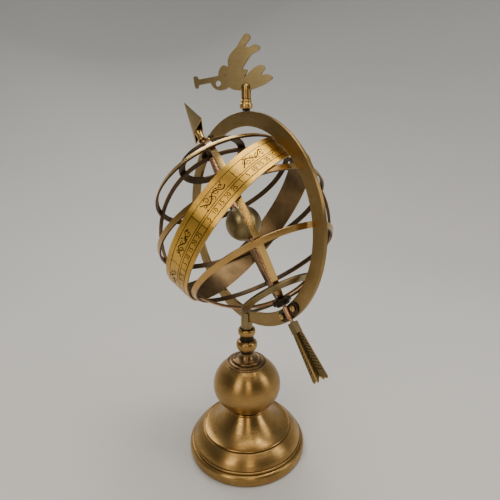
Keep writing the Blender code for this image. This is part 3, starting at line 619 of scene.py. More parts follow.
def ball_seat(radius):
    """How far a seat on the ball lies above or below its centre, with the gap left open."""
    share = 1.0 - (radius / (BALL_RADIUS + GAP)) ** 2
    return (BALL_HALF_HEIGHT + GAP) * math.sqrt(share)


def foot_cone(radius, inset=0.0):
    """Height of the foot's concave cone, or of its inner wall, at this radius."""
    span = (FOOT_LEDGE_RADIUS - radius) / (FOOT_LEDGE_RADIUS - FOOT_NECK_RADIUS)
    return FOOT_LEDGE_Z - inset + (FOOT_NECK_Z - FOOT_LEDGE_Z) * max(span, 0.0) ** 1.7


def stand_pieces():
    felt_pad()
    foot()
    ball()
    cap()
    bead_and_neck("knop", [
        (7.2, 128.2), (7.1, 127.4), (7.3, 126.8), (8.8, 126.2), (10.3, 124.9), (10.9, 122.8), (10.9, 120.6),
        (10.4, 118.4), (9.0, 116.6), (7.0, 115.8), (6.4, 115.2), (6.1, 113.8), (6.4, 112.5),
    ], 7.32, "stem_knop")
    bead_and_neck("collar", [
        (6.6, 140.0), (8.0, 139.8), (8.7, 139.0), (9.0, 137.6), (9.0, 136.0), (8.7, 134.4), (8.0, 133.2),
        (7.2, 132.7), (7.0, 131.6), (7.0, 129.6), (7.2, 128.5),
    ], 7.25, "stem_collar")
    fork_piece()


def felt_pad():
    low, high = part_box("felt_pad")
    felt = rounded([(0.0, high.z), (high.x, high.z), (high.x, low.z), (0.0, low.z)], 0.4 * MM)
    felt = [(0.0, high.z), *[p for p in felt if p.x > 1.0 * MM], (0.0, low.z)]
    lathe("felt_pad_fine", felt, [FELT], nodes=["felt_pad"], closed=False)


def foot():
    """The spun foot: a hollow cone, its lip, a round shoulder, a groove, a bead and the flange."""
    cone_steps = 26
    cone = [FOOT_NECK_RADIUS + (FOOT_LEDGE_RADIUS - FOOT_NECK_RADIUS) * step / cone_steps
            for step in range(cone_steps + 1)]
    lip = mm([(45.5, 27.7), (45.9, 27.9), (46.4, 27.8), (46.8, 27.4), (46.8, 26.9), (46.4, 26.6),
              (45.8, 26.4), (45.8, 26.0), (46.4, 25.8), (47.2, 25.9)])
    shoulder = smooth_curve(mm([(47.6, 25.8), (49.4, 24.5), (52.6, 21.9), (55.6, 18.4), (57.3, 15.5),
                                (57.8, 14.6)]), 5)
    groove = mm([(57.7, 14.2), (57.2, 14.0), (57.3, 13.7)])
    bead = smooth_curve(mm([(58.2, 13.9), (59.0, 13.5), (59.2, 12.6), (58.8, 11.8), (57.8, 11.5)]), 4)
    flange = smooth_curve([*mm([(58.5, 11.1), (60.3, 10.6), (61.7, 9.3)]), (FOOT_RADIUS, 7.2 * MM),
                           (FOOT_RADIUS, 2.0 * MM), (61.5 * MM, 0.7 * MM)], 5)
    outer = mm([(17.6, 48.8), (19.8, 48.4), (20.2, 47.9), (20.1, 46.5)])
    outer += [Vector((radius, foot_cone(radius))) for radius in cone[:-1]]
    outer += lip + shoulder + groove + bead + flange
    wall = 2.2 * MM
    inner = mm([(58.3, 0.7), (58.3, 8.0), (55.2, 14.0), (49.6, 20.4), (44.6, 25.0)])
    inner += [Vector((radius - wall, foot_cone(radius, wall))) for radius in cone[-4:4:-4]]
    inner += [Vector((16.6 * MM, 42.8 * MM)), Vector((TIE_ROD_BORE, 42.8 * MM))]
    seat = (TIE_ROD_BORE, 6.0 * MM, 10.0 * MM, 14.0 * MM, 17.0 * MM)
    inner += [Vector((radius, BALL_CENTRE_Z - ball_seat(radius))) for radius in seat]
    lathe("foot", outer + inner, [SATIN], nodes=["base_foot"])


def ball():
    angles = bored_arc(BALL_RADIUS, TIE_ROD_BORE, 72)
    outside = [(BALL_RADIUS * math.sin(a), BALL_CENTRE_Z + BALL_HALF_HEIGHT * math.cos(a)) for a in angles]
    wall = 1.6 * MM
    inside = [((BALL_RADIUS - wall) * math.sin(a), BALL_CENTRE_Z + (BALL_HALF_HEIGHT - wall) * math.cos(a))
              for a in angles[::-4]]
    lathe("ball", outside + inside, [SATIN], nodes=["base_ball"])


def cap():
    """The trumpet-shaped cap with its two stepped ledges, seated on the ball."""
    rim = BALL_CENTRE_Z + ball_seat(CAP_RADIUS) + 0.1 * MM
    trumpet = smooth_curve(mm([(6.4, 112.2), (6.9, 109.8), (8.6, 107.5), (10.6, 106.3), (12.2, 105.6)]), 6)
    ledges = mm([(12.8, 105.8), (13.8, 105.8), (14.6, 105.5), (15.1, 104.9), (15.1, 104.3), (14.6, 103.8),
                 (15.2, 103.5), (16.4, 103.8), (17.8, 103.6), (18.5, 103.2), (18.7, 102.7), (18.4, 102.2),
                 (18.9, 102.1), (19.7, 102.6), (20.4, 102.3), (20.7, 101.7)])
    ledges.append(Vector((CAP_RADIUS, rim)))
    seat = (20.4 * MM, 17.0 * MM, 12.0 * MM, 7.0 * MM, TIE_ROD_BORE)
    under = [Vector((radius, BALL_CENTRE_Z + ball_seat(radius))) for radius in seat]
    lathe("cap", trumpet + ledges + under + [Vector((TIE_ROD_BORE, 112.2 * MM))], [BROWN],
          nodes=["ball_cap"])


def bead_and_neck(name, outline, neck_radius, node):
    """A turned bead on the tie rod; the outline's parts narrower than neck_radius are left black, painted
    shade in the narrow necks.
    """
    curve = smooth_curve(mm(outline), 6)
    curve += [Vector((TIE_ROD_BORE, curve[-1].y)), Vector((TIE_ROD_BORE, curve[0].y))]
    lathe(name, curve, [SATIN, BLACK_AND_SHADE], steps=MEDIUM, nodes=[node],
          material_of=lambda index: 1 if curve[index].x < neck_radius * MM else 0)


def fork_piece():
    """Two cheeks of a round tube on a solid foot, the slot between them open for the ring."""
    bm = bmesh.new()
    bottom, shoulder, top = 140.3 * MM, 149.0 * MM, 158.0 * MM
    radius, top_radius = 5.9 * MM, 5.7 * MM
    tie_rod_end = 146.4 * MM
    turn_into(bm, [(0.0, 149.2 * MM), (radius, 149.2 * MM), (6.1 * MM, 141.2 * MM), (radius, bottom),
                   (TIE_ROD_BORE, bottom), (TIE_ROD_BORE, tie_rod_end), (0.0, tie_rod_end)],
              SMALL, closed=False)
    chamfer = 0.5 * MM
    levels = []
    for height in (shoulder, 151.0 * MM, 154.0 * MM, top - 0.8 * MM, top - 0.25 * MM, top):
        here = radius + (top_radius - radius) * (height - shoulder) / (top - shoulder)
        if height > top - chamfer:
            here -= 0.35 * MM * (height - top + chamfer) / chamfer
        levels.append((height, here))
    slotted_cheeks(bm, levels, RING_THICKNESS / 2 + GAP, 40)
    finish_piece(bm, "fork", [OLIVE], Matrix(), "stand", ["stem_fork"], around_z)


# -------------------------------------------------------------- ring and rod


def ring_and_rod():
    half = RING_THICKNESS / 2
    section = rounded(rectangle(RING_INNER, RING_OUTER, -half, half), 0.55 * MM, 4)
    upright = Matrix.Translation(RING_CENTRE) @ TO_MINUS_Y
    lathe("ring", section, [RING], frame_matrix=upright, steps=360, nodes=["meridian_ring"])

    rod = [(0.0, ROD_NORTH_END), (ROD_RADIUS, ROD_NORTH_END), (ROD_RADIUS, ROD_SOUTH_END),
           (0.0, ROD_SOUTH_END)]
    lathe("rod", rod, [COPPER], frame_matrix=POLAR, steps=48, nodes=["polar_rod"],
          closed=False)

    angles = bored_arc(CENTRE_BALL_RADIUS, ROD_BORE, 60)
    globe = [(CENTRE_BALL_RADIUS * math.sin(a), CENTRE_BALL_RADIUS * math.cos(a)) for a in angles]
    lathe("globe", globe, [OLIVE], frame_matrix=POLAR, steps=MEDIUM, nodes=["centre_ball"])
    for name, turn in (("sleeve_north", Matrix()), ("sleeve_south", Matrix.Rotation(math.pi, 4, "Y"))):
        sleeve(name, POLAR @ turn)


def sleeve(name, frame_matrix):
    """A tube with shallow rings turned into it at even steps, and a bead at each end."""
    bottom, top = CENTRE_BALL_RADIUS + GAP, SLEEVE_END
    pitch = 5.0 * MM
    outer = [(SLEEVE_RADIUS - 0.3 * MM, top), (SLEEVE_RADIUS, top - 0.4 * MM)]
    count = int((top - bottom - 4.0 * MM) / pitch)
    for index in range(count):
        height = top - 3.0 * MM - index * pitch
        for rise, sink in ((0.7, 0.0), (0.35, 0.3), (0.0, 0.42), (-0.35, 0.3), (-0.7, 0.0)):
            outer.append((SLEEVE_RADIUS - sink * MM, height + rise * MM))
    outer += [(SLEEVE_RADIUS, bottom + 0.4 * MM), (SLEEVE_RADIUS - 0.3 * MM, bottom)]
    section = outer + [(ROD_BORE, bottom), (ROD_BORE, top)]
    lathe(f"{name}_fine", section, [COPPER], frame_matrix=frame_matrix, steps=SMALL,
          nodes=[name])


def clamp_pieces():
    """Each saddle plate with its half tube, and two slotted screws with domed heads."""
    index = 0
    for name, distance in (("clamp_north", CLAMP_DISTANCE), ("clamp_south", -CLAMP_DISTANCE)):
        spot = POLAR @ Matrix.Translation((0.0, 0.0, distance)) @ TO_MINUS_Y
        bm = bmesh.new()
        half_width = CLAMP_WIDTH / 2
        straight = CLAMP_LENGTH / 2 - half_width
        ends = [math.radians(angle) for angle in range(-90, 91, 6)]
        right = [(straight + half_width * math.cos(a), half_width * math.sin(a)) for a in ends]
        outline = right + [(-x, -y) for x, y in right]
        back, front = -ROD_RADIUS, -ROD_RADIUS + CLAMP_PLATE
        levels = ((0.0, back), (0.0, front - 0.35 * MM), (0.12 * MM, front - 0.1 * MM), (0.4 * MM, front))
        rows = []
        for inset, level in levels:
            scale_x = 1.0 - inset / (CLAMP_LENGTH / 2)
            scale_y = 1.0 - inset / half_width
            rows.append([bm.verts.new((x * scale_x, y * scale_y, level)) for x, y in outline])
        skin(bm, rows)
        finish_piece(bm, f"{name}_plate", [DARK], spot, "stand", [name], along_x)
        half_tube(name, spot)
        for side in (-0.5, 0.5):
            index += 1
            screw(f"clamp_screw_{index}", spot @ Matrix.Translation((side * CLAMP_SCREW_SPACING, 0.0, 0.0)),
                  turn=math.radians(35.0 + 47.0 * index))


def half_tube(node, spot):
    """The saddle's half tube over the rod, its ends rounded."""
    bm = bmesh.new()
    steps = 28
    half = CLAMP_TUBE_LENGTH / 2
    wings = math.radians(12.0)
    angles = [-wings + (math.pi + 2 * wings) * step / steps for step in range(steps + 1)]
    levels = ((0.35, -half), (0.08, -half + 0.15 * MM), (0.0, -half + 0.4 * MM), (0.0, half - 0.4 * MM),
              (0.08, half - 0.15 * MM), (0.35, half))
    rows = []
    for sink, level in levels:
        radius = CLAMP_TUBE_RADIUS - sink * MM
        outer = [bm.verts.new((radius * math.cos(a), level, radius * math.sin(a))) for a in angles]
        inner = [bm.verts.new((ROD_BORE * math.cos(a), level, ROD_BORE * math.sin(a))) for a in angles[::-1]]
        rows.append(outer + inner)
    skin(bm, rows, capped=False)
    for row in (rows[0], rows[-1]):
        for here in range(steps):
            bm.faces.new([row[here], row[here + 1], row[-2 - here], row[-1 - here]])
    finish_piece(bm, f"{node}_tube", [COPPER], spot, "stand", [node], along_x)


def screw(node, spot, turn):
    """A slotted cheese-head screw: a domed head in two halves either side of the slot, on a base disc."""
    bm = bmesh.new()
    seat = -(ROD_RADIUS - CLAMP_PLATE) + GAP
    top = seat + SCREW_HEAD_HEIGHT
    floor = top - 0.8 * MM
    radius = SCREW_HEAD_RADIUS
    shank, shank_end = 1.4 * MM, seat - 2.0 * MM
    turn_into(bm, [(0.0, floor), (radius, floor), (radius, seat + 0.15 * MM), (radius - 0.15 * MM, seat),
                   (shank, seat), (shank, shank_end), (0.0, shank_end)], SMALL, closed=False)
    levels = [(floor, radius), (top - 0.45 * MM, radius), (top - 0.15 * MM, radius - 0.12 * MM),
              (top, radius - 0.45 * MM)]
    slotted_cheeks(bm, levels, SCREW_SLOT / 2, 24)
    finish_piece(bm, f"{node}_fine", [POLISHED], spot @ Matrix.Rotation(turn, 4, "Z"), "stand", [node],
                 around_z)


# -------------------------------------------------------- arrow and fletching


def arrow_head():
    """A rhombic point, hollow from behind, and its waisted ferrule."""
    spot = POLAR @ Matrix.Rotation(ARROW_ROLL, 4, "Z")
    bm = bmesh.new()

    def diamond(share, height):
        """One level of the point: each corner of the diamond blunted a little."""
        blunt = 0.035
        corners = [(ARROW_HALF_WIDTH, 0.0), (0.0, ARROW_HALF_THICKNESS),
                   (-ARROW_HALF_WIDTH, 0.0), (0.0, -ARROW_HALF_THICKNESS)]
        ring = []
        for index, corner in enumerate(corners):
            here = Vector(corner)
            before = Vector(corners[index - 1])
            after = Vector(corners[(index + 1) % 4])
            ring += [here.lerp(before, blunt), here.lerp((before + after) / 2, blunt * 0.5),
                     here.lerp(after, blunt)]
        return [bm.verts.new((p.x * share, p.y * share, height)) for p in ring]

    length = ARROW_TIP - ARROW_BASE
    wall = 0.84
    outside = [diamond(1.0 - share, ARROW_BASE + length * share) for share in
               (0.006, 0.15, 0.3, 0.45, 0.6, 0.75, 0.9, 0.975)]
    rim = diamond(0.965, ARROW_BASE)
    # The hollow's inner faces and its back face are near black, painted shade inside the hollow.
    inside = [diamond(wall * (1.0 - share), ARROW_BASE + 0.6 * length * share)
              for share in (0.0, 0.3, 0.6, 0.9)]
    levels = outside[::-1] + [rim] + inside
    for upper, lower in zip(levels, levels[1:]):
        for index in range(12):
            following = (index + 1) % 12
            face = bm.faces.new([upper[index], lower[index], lower[following], upper[following]])
            face.material_index = 1 if lower in inside and lower is not inside[0] else 0
    bm.faces.new(levels[0])
    bm.faces.new(levels[-1]).material_index = 1
    finish_piece(bm, "arrow_point", [SATIN_FLAT, BLACK_AND_SHADE], spot, "stand", ["arrow_head"],
                 along_x)

    waist = smooth_curve(mm([(3.3, 121.5), (4.2, 114.2), (4.0, 110.5), (3.6, 107.0), (3.9, 103.6),
                             (4.3, 102.2)]), 5)
    bore_end = ROD_NORTH_END + GAP
    ferrule = [(0.0, 121.8 * MM), *waist, (4.1 * MM, FERRULE_REAR), (ROD_BORE, FERRULE_REAR),
               (ROD_BORE, bore_end), (0.0, bore_end)]
    lathe("arrow_ferrule", ferrule, [POLISHED], frame_matrix=POLAR, steps=SMALL,
          nodes=["arrow_head"], closed=False)


def fletching():
    """A square socket and four vanes, each face cut with slanting barbs."""
    spot = POLAR @ Matrix.Rotation(FLETCHING_ROLL, 4, "Z")
    bm = bmesh.new()
    half = SOCKET_SIDE / 2
    blunt = 0.35 * MM

    def square(size, height):
        ring = []
        for x, y in ((1, -1), (1, 1), (-1, 1), (-1, -1)):
            for step in (0, 1):
                along = (0.0, blunt) if (x == y) == bool(step) else (blunt, 0.0)
                ring.append((x * (size - along[0]), y * (size - along[1])))
        return [bm.verts.new((x, y, height)) for x, y in ring]

    bevel = 0.3 * MM
    heights = ((half - bevel, -SOCKET_START), (half, -SOCKET_START - bevel), (half, -SOCKET_END + bevel),
               (half - bevel, -SOCKET_END))
    rows = [square(size, height) for size, height in heights]
    bmesh.ops.convex_hull(bm, input=[vertex for row in rows for vertex in row])
    finish_piece(bm, "fletching_socket", [FEATHER], spot, "stand", ["fletching"], around_z)

    root = -SOCKET_END + 2.0 * MM
    outline = [(0.6 * MM, root), (half - 0.4 * MM, root), (VANE_ROOT_HALF, root - 3.0 * MM),
               (VANE_TIP_HALF, -VANE_TIP + 1.6 * MM), (VANE_TIP_HALF - 1.0 * MM, -VANE_TIP),
               (0.6 * MM, -VANE_NOTCH - 0.4 * MM)]
    barbs = []
    count = 11
    for step in range(count):
        height = root - 4.4 * MM - step * 2.9 * MM
        share = (root - 3.0 * MM - height) / (root - 3.0 * MM + VANE_TIP)
        reach = VANE_ROOT_HALF + (VANE_TIP_HALF - VANE_ROOT_HALF) * share - 0.5 * MM
        barbs += stroke([(1.6 * MM, height), (reach * 0.55, height - 1.3 * MM),
                         (reach, height - 3.3 * MM)], 0.65 * MM)
    barbs += stroke([(1.15 * MM, root - 1.0 * MM), (1.15 * MM, -VANE_NOTCH + 1.0 * MM)], 0.4 * MM)
    for quarter in range(4):
        for face in (1, -1):
            sheet = bmesh.new()

            def bend(x, y, height, face=face):
                return (x, face * height, y)

            engraved_sheet(sheet, [outline], barbs, [], 0.28 * MM, 0.0, VANE_THICKNESS / 2, bend)
            turn = POLAR @ Matrix.Rotation(VANE_ROLL + quarter * math.pi / 2, 4, "Z")
            side = "front" if face > 0 else "back"
            finish_piece(sheet, f"vane_{quarter}_{side}", [FEATHER, ENGRAVED, FEATHER, GOLD], turn, "stand",
                         ["fletching"], along_x)


# ------------------------------------------------------------------- the cage


def strip_section(latitude, width):
    """A strip whose middle touches the cage's sphere, square to it, at this latitude."""
    outwards = Vector((math.cos(latitude), math.sin(latitude)))
    northwards = Vector((-math.sin(latitude), math.cos(latitude)))
    middle = outwards * PARALLEL_OUTER
    rise = northwards * width / 2
    depth = outwards * PARALLEL_THICKNESS
    return [middle + rise, middle - rise, middle - rise - depth, middle + rise - depth]


def hoop(name, section, outer_metal, frame_matrix):
    """A hoop with softly rounded edges; its inner face and edges are painted dark as painted shade."""
    steps = 3
    rounded_section = rounded(section, 0.35 * MM, steps)
    inner_from = 2 * (steps + 1)
    lathe(f"{name}_fine", rounded_section, [outer_metal, INNER_SHADE], "cage", frame_matrix,
          steps=300, nodes=[name], material_of=lambda index: 1 if index >= inner_from - 1 else 0)


def cage_pieces():
    for name, angle, outer_metal, slot in (
        ("colure_a", COLURE_A_ANGLE, POLISHED, "polished_brass"),
        ("colure_b", COLURE_B_ANGLE, COPPER, "coppery_brass"),
    ):
        turn = Matrix.Rotation(angle + math.pi / 2, 4, "Z") @ Matrix.Rotation(math.pi / 2, 4, "Y")
        section = rectangle(COLURE_INNER, COLURE_OUTER, -HOOP_WIDTH / 2, HOOP_WIDTH / 2)
        hoop(name, section, outer_metal, POLAR @ turn)
    for name, latitude, width, outer_metal, slot in (
        ("equator", 0.0, HOOP_WIDTH, GOLD, "satin_brass"),
        ("tropic_north", TROPIC_LATITUDE, HOOP_WIDTH, POLISHED, "polished_brass"),
        ("tropic_south", -TROPIC_LATITUDE, HOOP_WIDTH, GOLD, "polished_brass"),
        ("polar_circle_north", POLAR_CIRCLE_LATITUDE, POLAR_CIRCLE_WIDTH, AGED, "aged_brass"),
        ("polar_circle_south", -POLAR_CIRCLE_LATITUDE, POLAR_CIRCLE_WIDTH, OLIVE, "aged_brass"),
    ):
        section = strip_section(latitude, width)
        hoop(name, section, outer_metal, POLAR)
    for name, turn in (("hub_north", Matrix()), ("hub_south", Matrix.Rotation(math.pi, 4, "Y"))):
        hub(name, POLAR @ turn)
    zodiac_band()


def hub(name, frame_matrix):
    seat = COLURE_OUTER + GAP
    section = rounded([(6.4 * MM, HUB_TOP), (6.4 * MM, HUB_TOP - 1.8 * MM), (HUB_RADIUS, HUB_TOP - 1.8 * MM),
                       (HUB_RADIUS, seat), (ROD_BORE, seat), (ROD_BORE, HUB_TOP)], 0.5 * MM, 4)
    lathe(f"{name}_fine", section, [BLACK_AND_SHADE], "cage", frame_matrix, MEDIUM, [name])


def zodiac_band():
    """The wide band: frame lines, twelve cells of scrollwork, and a scale of degrees below them."""
    first_divider = math.radians(3.3)
    cell = math.radians(30.0)
    middle_radius = (ZODIAC_INNER + ZODIAC_OUTER) / 2
    reach = math.pi * middle_radius
    half = ZODIAC_WIDTH / 2
    rows = [half - ZODIAC_WIDTH * share for share in (0.19, 0.55, 0.62, 0.85)]
    line = 0.55 * MM

    def bend(x, y, height):
        angle = x / middle_radius
        return (height * math.cos(angle), height * math.sin(angle), y)

    outline = [(-reach, -half), (reach, -half), (reach, half), (-reach, half)]
    strokes = []
    segments = 36
    for index in range(segments):
        start = -reach + 2 * reach * index / segments
        end = start + 2 * reach / segments
        for row in rows:
            strokes.append([(start, row - line / 2), (end, row - line / 2), (end, row + line / 2),
                            (start, row + line / 2)])
    centre_row = (rows[0] + rows[1]) / 2
    merge_distance = 0.002 * MM
    for index in range(12):
        divider = (first_divider + index * cell) * middle_radius
        divider = (divider + reach) % (2 * reach) - reach
        for upper, lower in ((rows[0], rows[1]), (rows[2], rows[3])):
            strokes.append([(divider - line / 2, lower), (divider + line / 2, lower),
                            (divider + line / 2, upper), (divider - line / 2, upper)])
        middle = divider + cell * middle_radius / 2
        if middle > reach:
            middle -= 2 * reach
        if abs(middle) < reach - 14.0 * MM:
            strokes += scrollwork(Vector((middle, centre_row)), index)
        strokes += degree_scale(divider, cell * middle_radius, rows[2], rows[3], reach)
    cuts = []
    count = round(math.tau / ARC_STEP)
    for index in range(1, count):
        x = -reach + 2 * reach * index / count
        cuts.append(((x, -half), (x, half)))
    bm = bmesh.new()
    engraved_sheet(bm, [outline], strokes, cuts, 0.3 * MM, ZODIAC_INNER, ZODIAC_OUTER, bend)
    bmesh.ops.remove_doubles(bm, verts=bm.verts, dist=merge_distance)
    tilt = Matrix.Rotation(ZODIAC_SOLSTICE_ANGLE, 4, "Z") @ Matrix.Rotation(-ZODIAC_TILT, 4, "Y")
    # The band's inner face takes the painted shade material.
    finish_piece(bm, "zodiac_engraved", [ZODIAC, ENGRAVED, ZODIAC_BACK_SHADE, POLISHED], POLAR @ tilt, "cage",
                 ["zodiac_band"], around_z)


def degree_scale(start, length, upper, lower, reach):
    """Ticks along the lower row of one cell, with a number at every fifth."""
    strokes = []
    line = 0.6 * MM
    for tick in range(1, 30):
        x = start + length * tick / 30.0
        if x > reach:
            x -= 2 * reach
        strokes.append([(x - 0.2 * MM, lower), (x + 0.2 * MM, lower), (x + 0.2 * MM, lower + 0.9 * MM),
                        (x - 0.2 * MM, lower + 0.9 * MM)])
    height = upper - lower - 2.5 * MM
    for count, number in enumerate(("5", "10", "15", "20", "25")):
        x = start + length * (count + 1) / 6.0 - 0.38 * height * len(number)
        if x > reach - 3.0 * MM:
            x -= 2 * reach
        strokes += numeral(number, x, lower + 1.6 * MM, height, line)
    return strokes


# --------------------------------------------------------------------- finial


def finial_pieces():
    base = RING_CENTRE.z + RING_OUTER

    def above(points):
        return [Vector((radius * MM, height * MM - base)) for radius, height in points]

    stud = [(0.0, 360.6), (1.6, 360.6), (1.6, 351.7), (3.4, 351.7), (3.6, 351.5), (3.6, 350.5), (3.4, 350.3),
            (0.9, 350.3), (0.9, 343.6), (0.0, 343.6)]
    lathe("stud", above(stud), [BLACK_AND_SHADE], frame_matrix=FINIAL, steps=SMALL,
          nodes=["finial_stud"], closed=False)
    collar = smooth_curve(above([(4.4, 359.4), (5.0, 358.9), (5.0, 358.2), (4.5, 357.7), (5.0, 357.1),
                                 (5.0, 356.3), (5.6, 355.8), (5.7, 355.0), (5.7, 353.0), (5.6, 352.2)]), 5)
    collar += above([(5.3, 352.0), (1.9, 352.0), (1.9, 359.4)])
    lathe("finial_collar_fine", collar, [POLISHED], "finial", FINIAL, MEDIUM,
          ["finial_collar"])
    finial_post()
    finial_figure()


def finial_post():
    """The post below its slot, and the two cheeks that hold the plate."""
    bm = bmesh.new()
    bottom = 9.7 * MM
    radius = 4.2 * MM
    turn_into(bm, [(0.0, SLOT_FLOOR), (radius, SLOT_FLOOR), (radius, bottom + 0.3 * MM),
                   (radius - 0.3 * MM, bottom), (1.9 * MM, bottom), (1.9 * MM, 11.0 * MM), (0.0, 11.0 * MM)],
              SMALL, closed=False)
    levels = mm([(16.4, 4.2), (20.2, 4.2), (20.8, 4.05), (21.4, 3.7), (22.0, 2.9), (22.4, 2.0)])
    slotted_cheeks(bm, levels, PLATE_THICKNESS / 2 + GAP, 28)
    finish_piece(bm, "post", [SATIN], FINIAL @ Matrix.Rotation(PLATE_ANGLE, 4, "Z"), "finial",
                 ["finial_post"], around_z)


def figure_outline():
    """Plain silhouette of a winged figure with a long trumpet, x along the plate, y above the ring top."""
    horn_and_head = [
        (-50.9, 22.4, "VECTOR"), (-52.0, 29.8, "VECTOR"), (-49.7, 30.9, "AUTO"), (-46.9, 27.8, "VECTOR"),
        (-26.6, 30.0, "VECTOR"), (-25.8, 34.2, "AUTO"), (-21.6, 38.1, "AUTO"), (-17.0, 36.6, "VECTOR"),
    ]
    upper_wing = [
        (-16.8, 42.5, "AUTO"), (-13.6, 47.6, "AUTO"), (-8.4, 52.0, "AUTO"), (-4.6, 57.2, "AUTO"),
        (1.4, 61.3, "AUTO"), (4.2, 57.6, "VECTOR"), (-1.4, 51.8, "VECTOR"), (2.6, 50.7, "VECTOR"),
        (9.4, 52.3, "AUTO"), (12.5, 49.8, "AUTO"), (5.0, 44.9, "AUTO"), (-3.6, 34.7, "VECTOR"),
    ]
    lower_wing = [
        (1.6, 33.4, "VECTOR"), (-1.6, 27.6, "VECTOR"), (10.6, 35.8, "AUTO"), (15.4, 36.2, "AUTO"),
        (17.6, 33.8, "VECTOR"), (13.8, 28.8, "VECTOR"), (20.3, 28.9, "VECTOR"), (24.1, 26.0, "AUTO"),
        (21.0, 23.2, "AUTO"), (12.1, 19.4, "AUTO"), (2.4, 17.0, "AUTO"),
    ]
    body_and_arm = [
        (-6.3, 17.2, "AUTO"), (-13.1, 18.4, "AUTO"), (-16.4, 20.4, "VECTOR"), (-21.3, 18.2, "AUTO"),
        (-26.0, 18.0, "AUTO"), (-31.2, 20.2, "AUTO"), (-34.6, 24.6, "VECTOR"), (-46.9, 23.1, "VECTOR"),
        (-48.8, 20.2, "AUTO"),
    ]
    return horn_and_head + upper_wing + lower_wing + body_and_arm


def curve_points(outline, resolution):
    """A closed Bezier outline as plain points, by Blender's own curve."""
    curve = bpy.data.curves.new("outline", "CURVE")
    curve.dimensions = "2D"
    curve.fill_mode = "NONE"
    curve.resolution_u = resolution
    spline = curve.splines.new("BEZIER")
    spline.bezier_points.add(len(outline) - 1)
    for point, (x, y, handle) in zip(spline.bezier_points, outline):
        point.co = (x * MM, y * MM, 0.0)
        point.handle_left_type = handle
        point.handle_right_type = handle
    spline.use_cyclic_u = True
    holder = add_object("outline", curve)
    bpy.context.view_layer.update()
    mesh = bpy.data.meshes.new_from_object(holder.evaluated_get(bpy.context.evaluated_depsgraph_get()))
    points = [OUTLINE_SCALE * vertex.co.xy for vertex in mesh.vertices]
    bpy.data.objects.remove(holder, do_unlink=True)
    bpy.data.meshes.remove(mesh)
    return points


def finial_figure():
    """A flat plate with softened edges and an opening at the elbow."""
    outline = curve_points(figure_outline(), resolution=8)
    ring = [math.radians(angle) for angle in range(0, 360, 20)]
    elbow = [((-27.0 + 3.0 * math.cos(a)) * MM, (23.6 + 2.4 * math.sin(a)) * MM) for a in ring]
    cheek = PLATE_THICKNESS / 2
    spot = FINIAL @ Matrix.Rotation(PLATE_ANGLE, 4, "Z") @ Matrix.Rotation(math.pi / 2, 4, "X")
    bm = bmesh.new()

    def lay_flat(x, y, height):
        return (x, y, height)

    engraved_sheet(bm, [outline, elbow], [], [], 0.0, -cheek, cheek, lay_flat, rim_material=0)
    flat = [face for face in bm.faces if abs(face.normal.z) > 0.9]
    rim = [edge for edge in bm.edges if sum(face in flat for face in edge.link_faces) == 1]
    inner_edges = [edge for edge in bm.edges if edge not in rim]
    bmesh.ops.dissolve_limit(bm, angle_limit=0.01, verts=bm.verts, edges=inner_edges)
    corner = math.radians(69.0)
    corners = [edge for edge in bm.edges if edge.calc_face_angle(0.0) > corner]
    bmesh.ops.bevel(bm, geom=corners, offset=0.3 * MM, segments=2, affect="EDGES", clamp_overlap=True)
    finish_piece(bm, "figure", [FIGURE], spot, "finial", ["finial_figure"], along_x)


# ---------------------------------------------------------------------- stage


def stage_material():
    graph = Graph("studio_paper")
    place = graph.node("TexCoord").outputs["Object"]
    split = graph.node("SeparateXYZ")
    graph.link(place, split.inputs[0])
    # Painted shade: the paper darkens up the wall, and much more on the raised wall towards the camera's
    # side.
    height = graph.ramp(split.outputs["Z"], 0.0, 0.9)
    paper = graph.mix(height, (0.65, 0.65, 0.65), (0.37, 0.385, 0.40))
    towards_x = graph.math("MULTIPLY", split.outputs["X"], 0.61)
    towards_y = graph.math("MULTIPLY", split.outputs["Y"], -0.79)
    front = graph.ramp(graph.math("ADD", towards_x, towards_y), -0.95, 0.75)
    raised = graph.ramp(split.outputs["Z"], 0.01, 0.45)
    paper = graph.mix(graph.math("MULTIPLY", front, raised), paper, (0.11, 0.11, 0.11))
    graph.link(paper, graph.shader.inputs["Base Color"])
    graph.shader.inputs["Roughness"].default_value = 0.85
    graph.shader.inputs["Specular IOR Level"].default_value = 0.2
    return graph.material


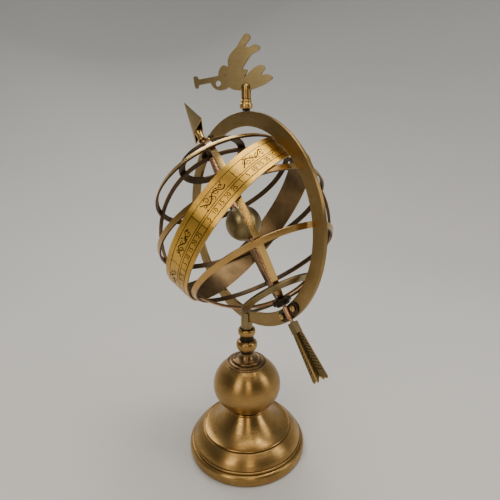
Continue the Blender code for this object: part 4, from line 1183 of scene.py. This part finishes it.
def studio():
    """A pale floor that sweeps up into a wall all round, five soft lamps and a soft sky."""
    bm = bmesh.new()
    floor_radius, wall_radius, wall_top = 0.75, 1.35, 1.5
    bend = [math.radians(angle) for angle in range(0, 91, 6)]
    sweep = wall_radius - floor_radius
    section = [(0.0, 0.0), (floor_radius * 0.5, 0.0)]
    section += [(floor_radius + sweep * math.sin(a), sweep * (1.0 - math.cos(a))) for a in bend]
    section.append((wall_radius, wall_top))
    turn_into(bm, section, 96, closed=False)
    mesh = bpy.data.meshes.new("studio_floor")
    bm.to_mesh(mesh)
    bm.free()
    mesh.shade_smooth()
    mesh.materials.append(stage_material())
    floor = add_object("studio_floor", mesh)

    soft_lamp("key_lamp", 60.0, 83.0, 1.2, (0.85, 0.85), 12.0, (1.0, 0.93, 0.80))
    soft_lamp("back_lamp", 165.0, 36.0, 1.3, (0.6, 0.5), 5.0, (1.0, 0.96, 0.90))
    soft_lamp("left_lamp", -72.0, 30.0, 1.2, (0.32, 0.9), 4.0, (1.0, 0.90, 0.74))
    soft_lamp("front_lamp", -31.0, 28.0, 1.2, (0.18, 0.8), 1.8, (1.0, 0.84, 0.62))
    soft_lamp("right_lamp", 40.0, 28.0, 1.2, (0.3, 0.6), 2.5, (1.0, 0.96, 0.90))

    world = bpy.data.worlds.new("studio_sky")
    bpy.context.scene.world = world
    world.use_nodes = True
    sky = world.node_tree.nodes["Background"]
    sky.inputs["Color"].default_value = (0.80, 0.85, 0.92, 1.0)
    sky.inputs["Strength"].default_value = 0.30


def soft_lamp(name, azimuth, elevation, distance, size, power, colour):
    """An upright soft box, size its width and height, that faces the sphere's centre."""
    data = bpy.data.lights.new(name, "AREA")
    data.shape = "RECTANGLE"
    data.size, data.size_y = size
    data.energy = power
    data.color = colour
    lamp = add_object(name, data)
    a, e = math.radians(azimuth), math.radians(elevation)
    out = Vector((math.cos(a) * math.cos(e), math.sin(a) * math.cos(e), math.sin(e)))
    lamp.location = RING_CENTRE + out * distance
    lamp.rotation_euler = out.to_track_quat("Z", "Y").to_euler()


def camera():
    data = bpy.data.cameras.new("camera")
    data.sensor_width = 36.0
    data.lens = CAMERA_LENS
    data.clip_start = 0.01
    eye = add_object("camera", data)
    eye.location = CAMERA_PLACE
    eye.rotation_euler = (CAMERA_TILT, 0.0, CAMERA_HEADING)
    bpy.context.scene.camera = eye


def hidden_hardware():
    """The tie rod, its washer and nut, and the fork pin keep their CAD meshes."""
    for node in ("tie_rod", "base_washer", "tie_rod_nut", "fork_pin"):
        piece = frame["nodes"][node]
        piece.data.materials.clear()
        piece.data.materials.append(AGED if node == "fork_pin" else STEEL)


camera()
studio()
stand_pieces()
hidden_hardware()
ring_and_rod()
clamp_pieces()
arrow_head()
fletching()
cage_pieces()
finial_pieces()
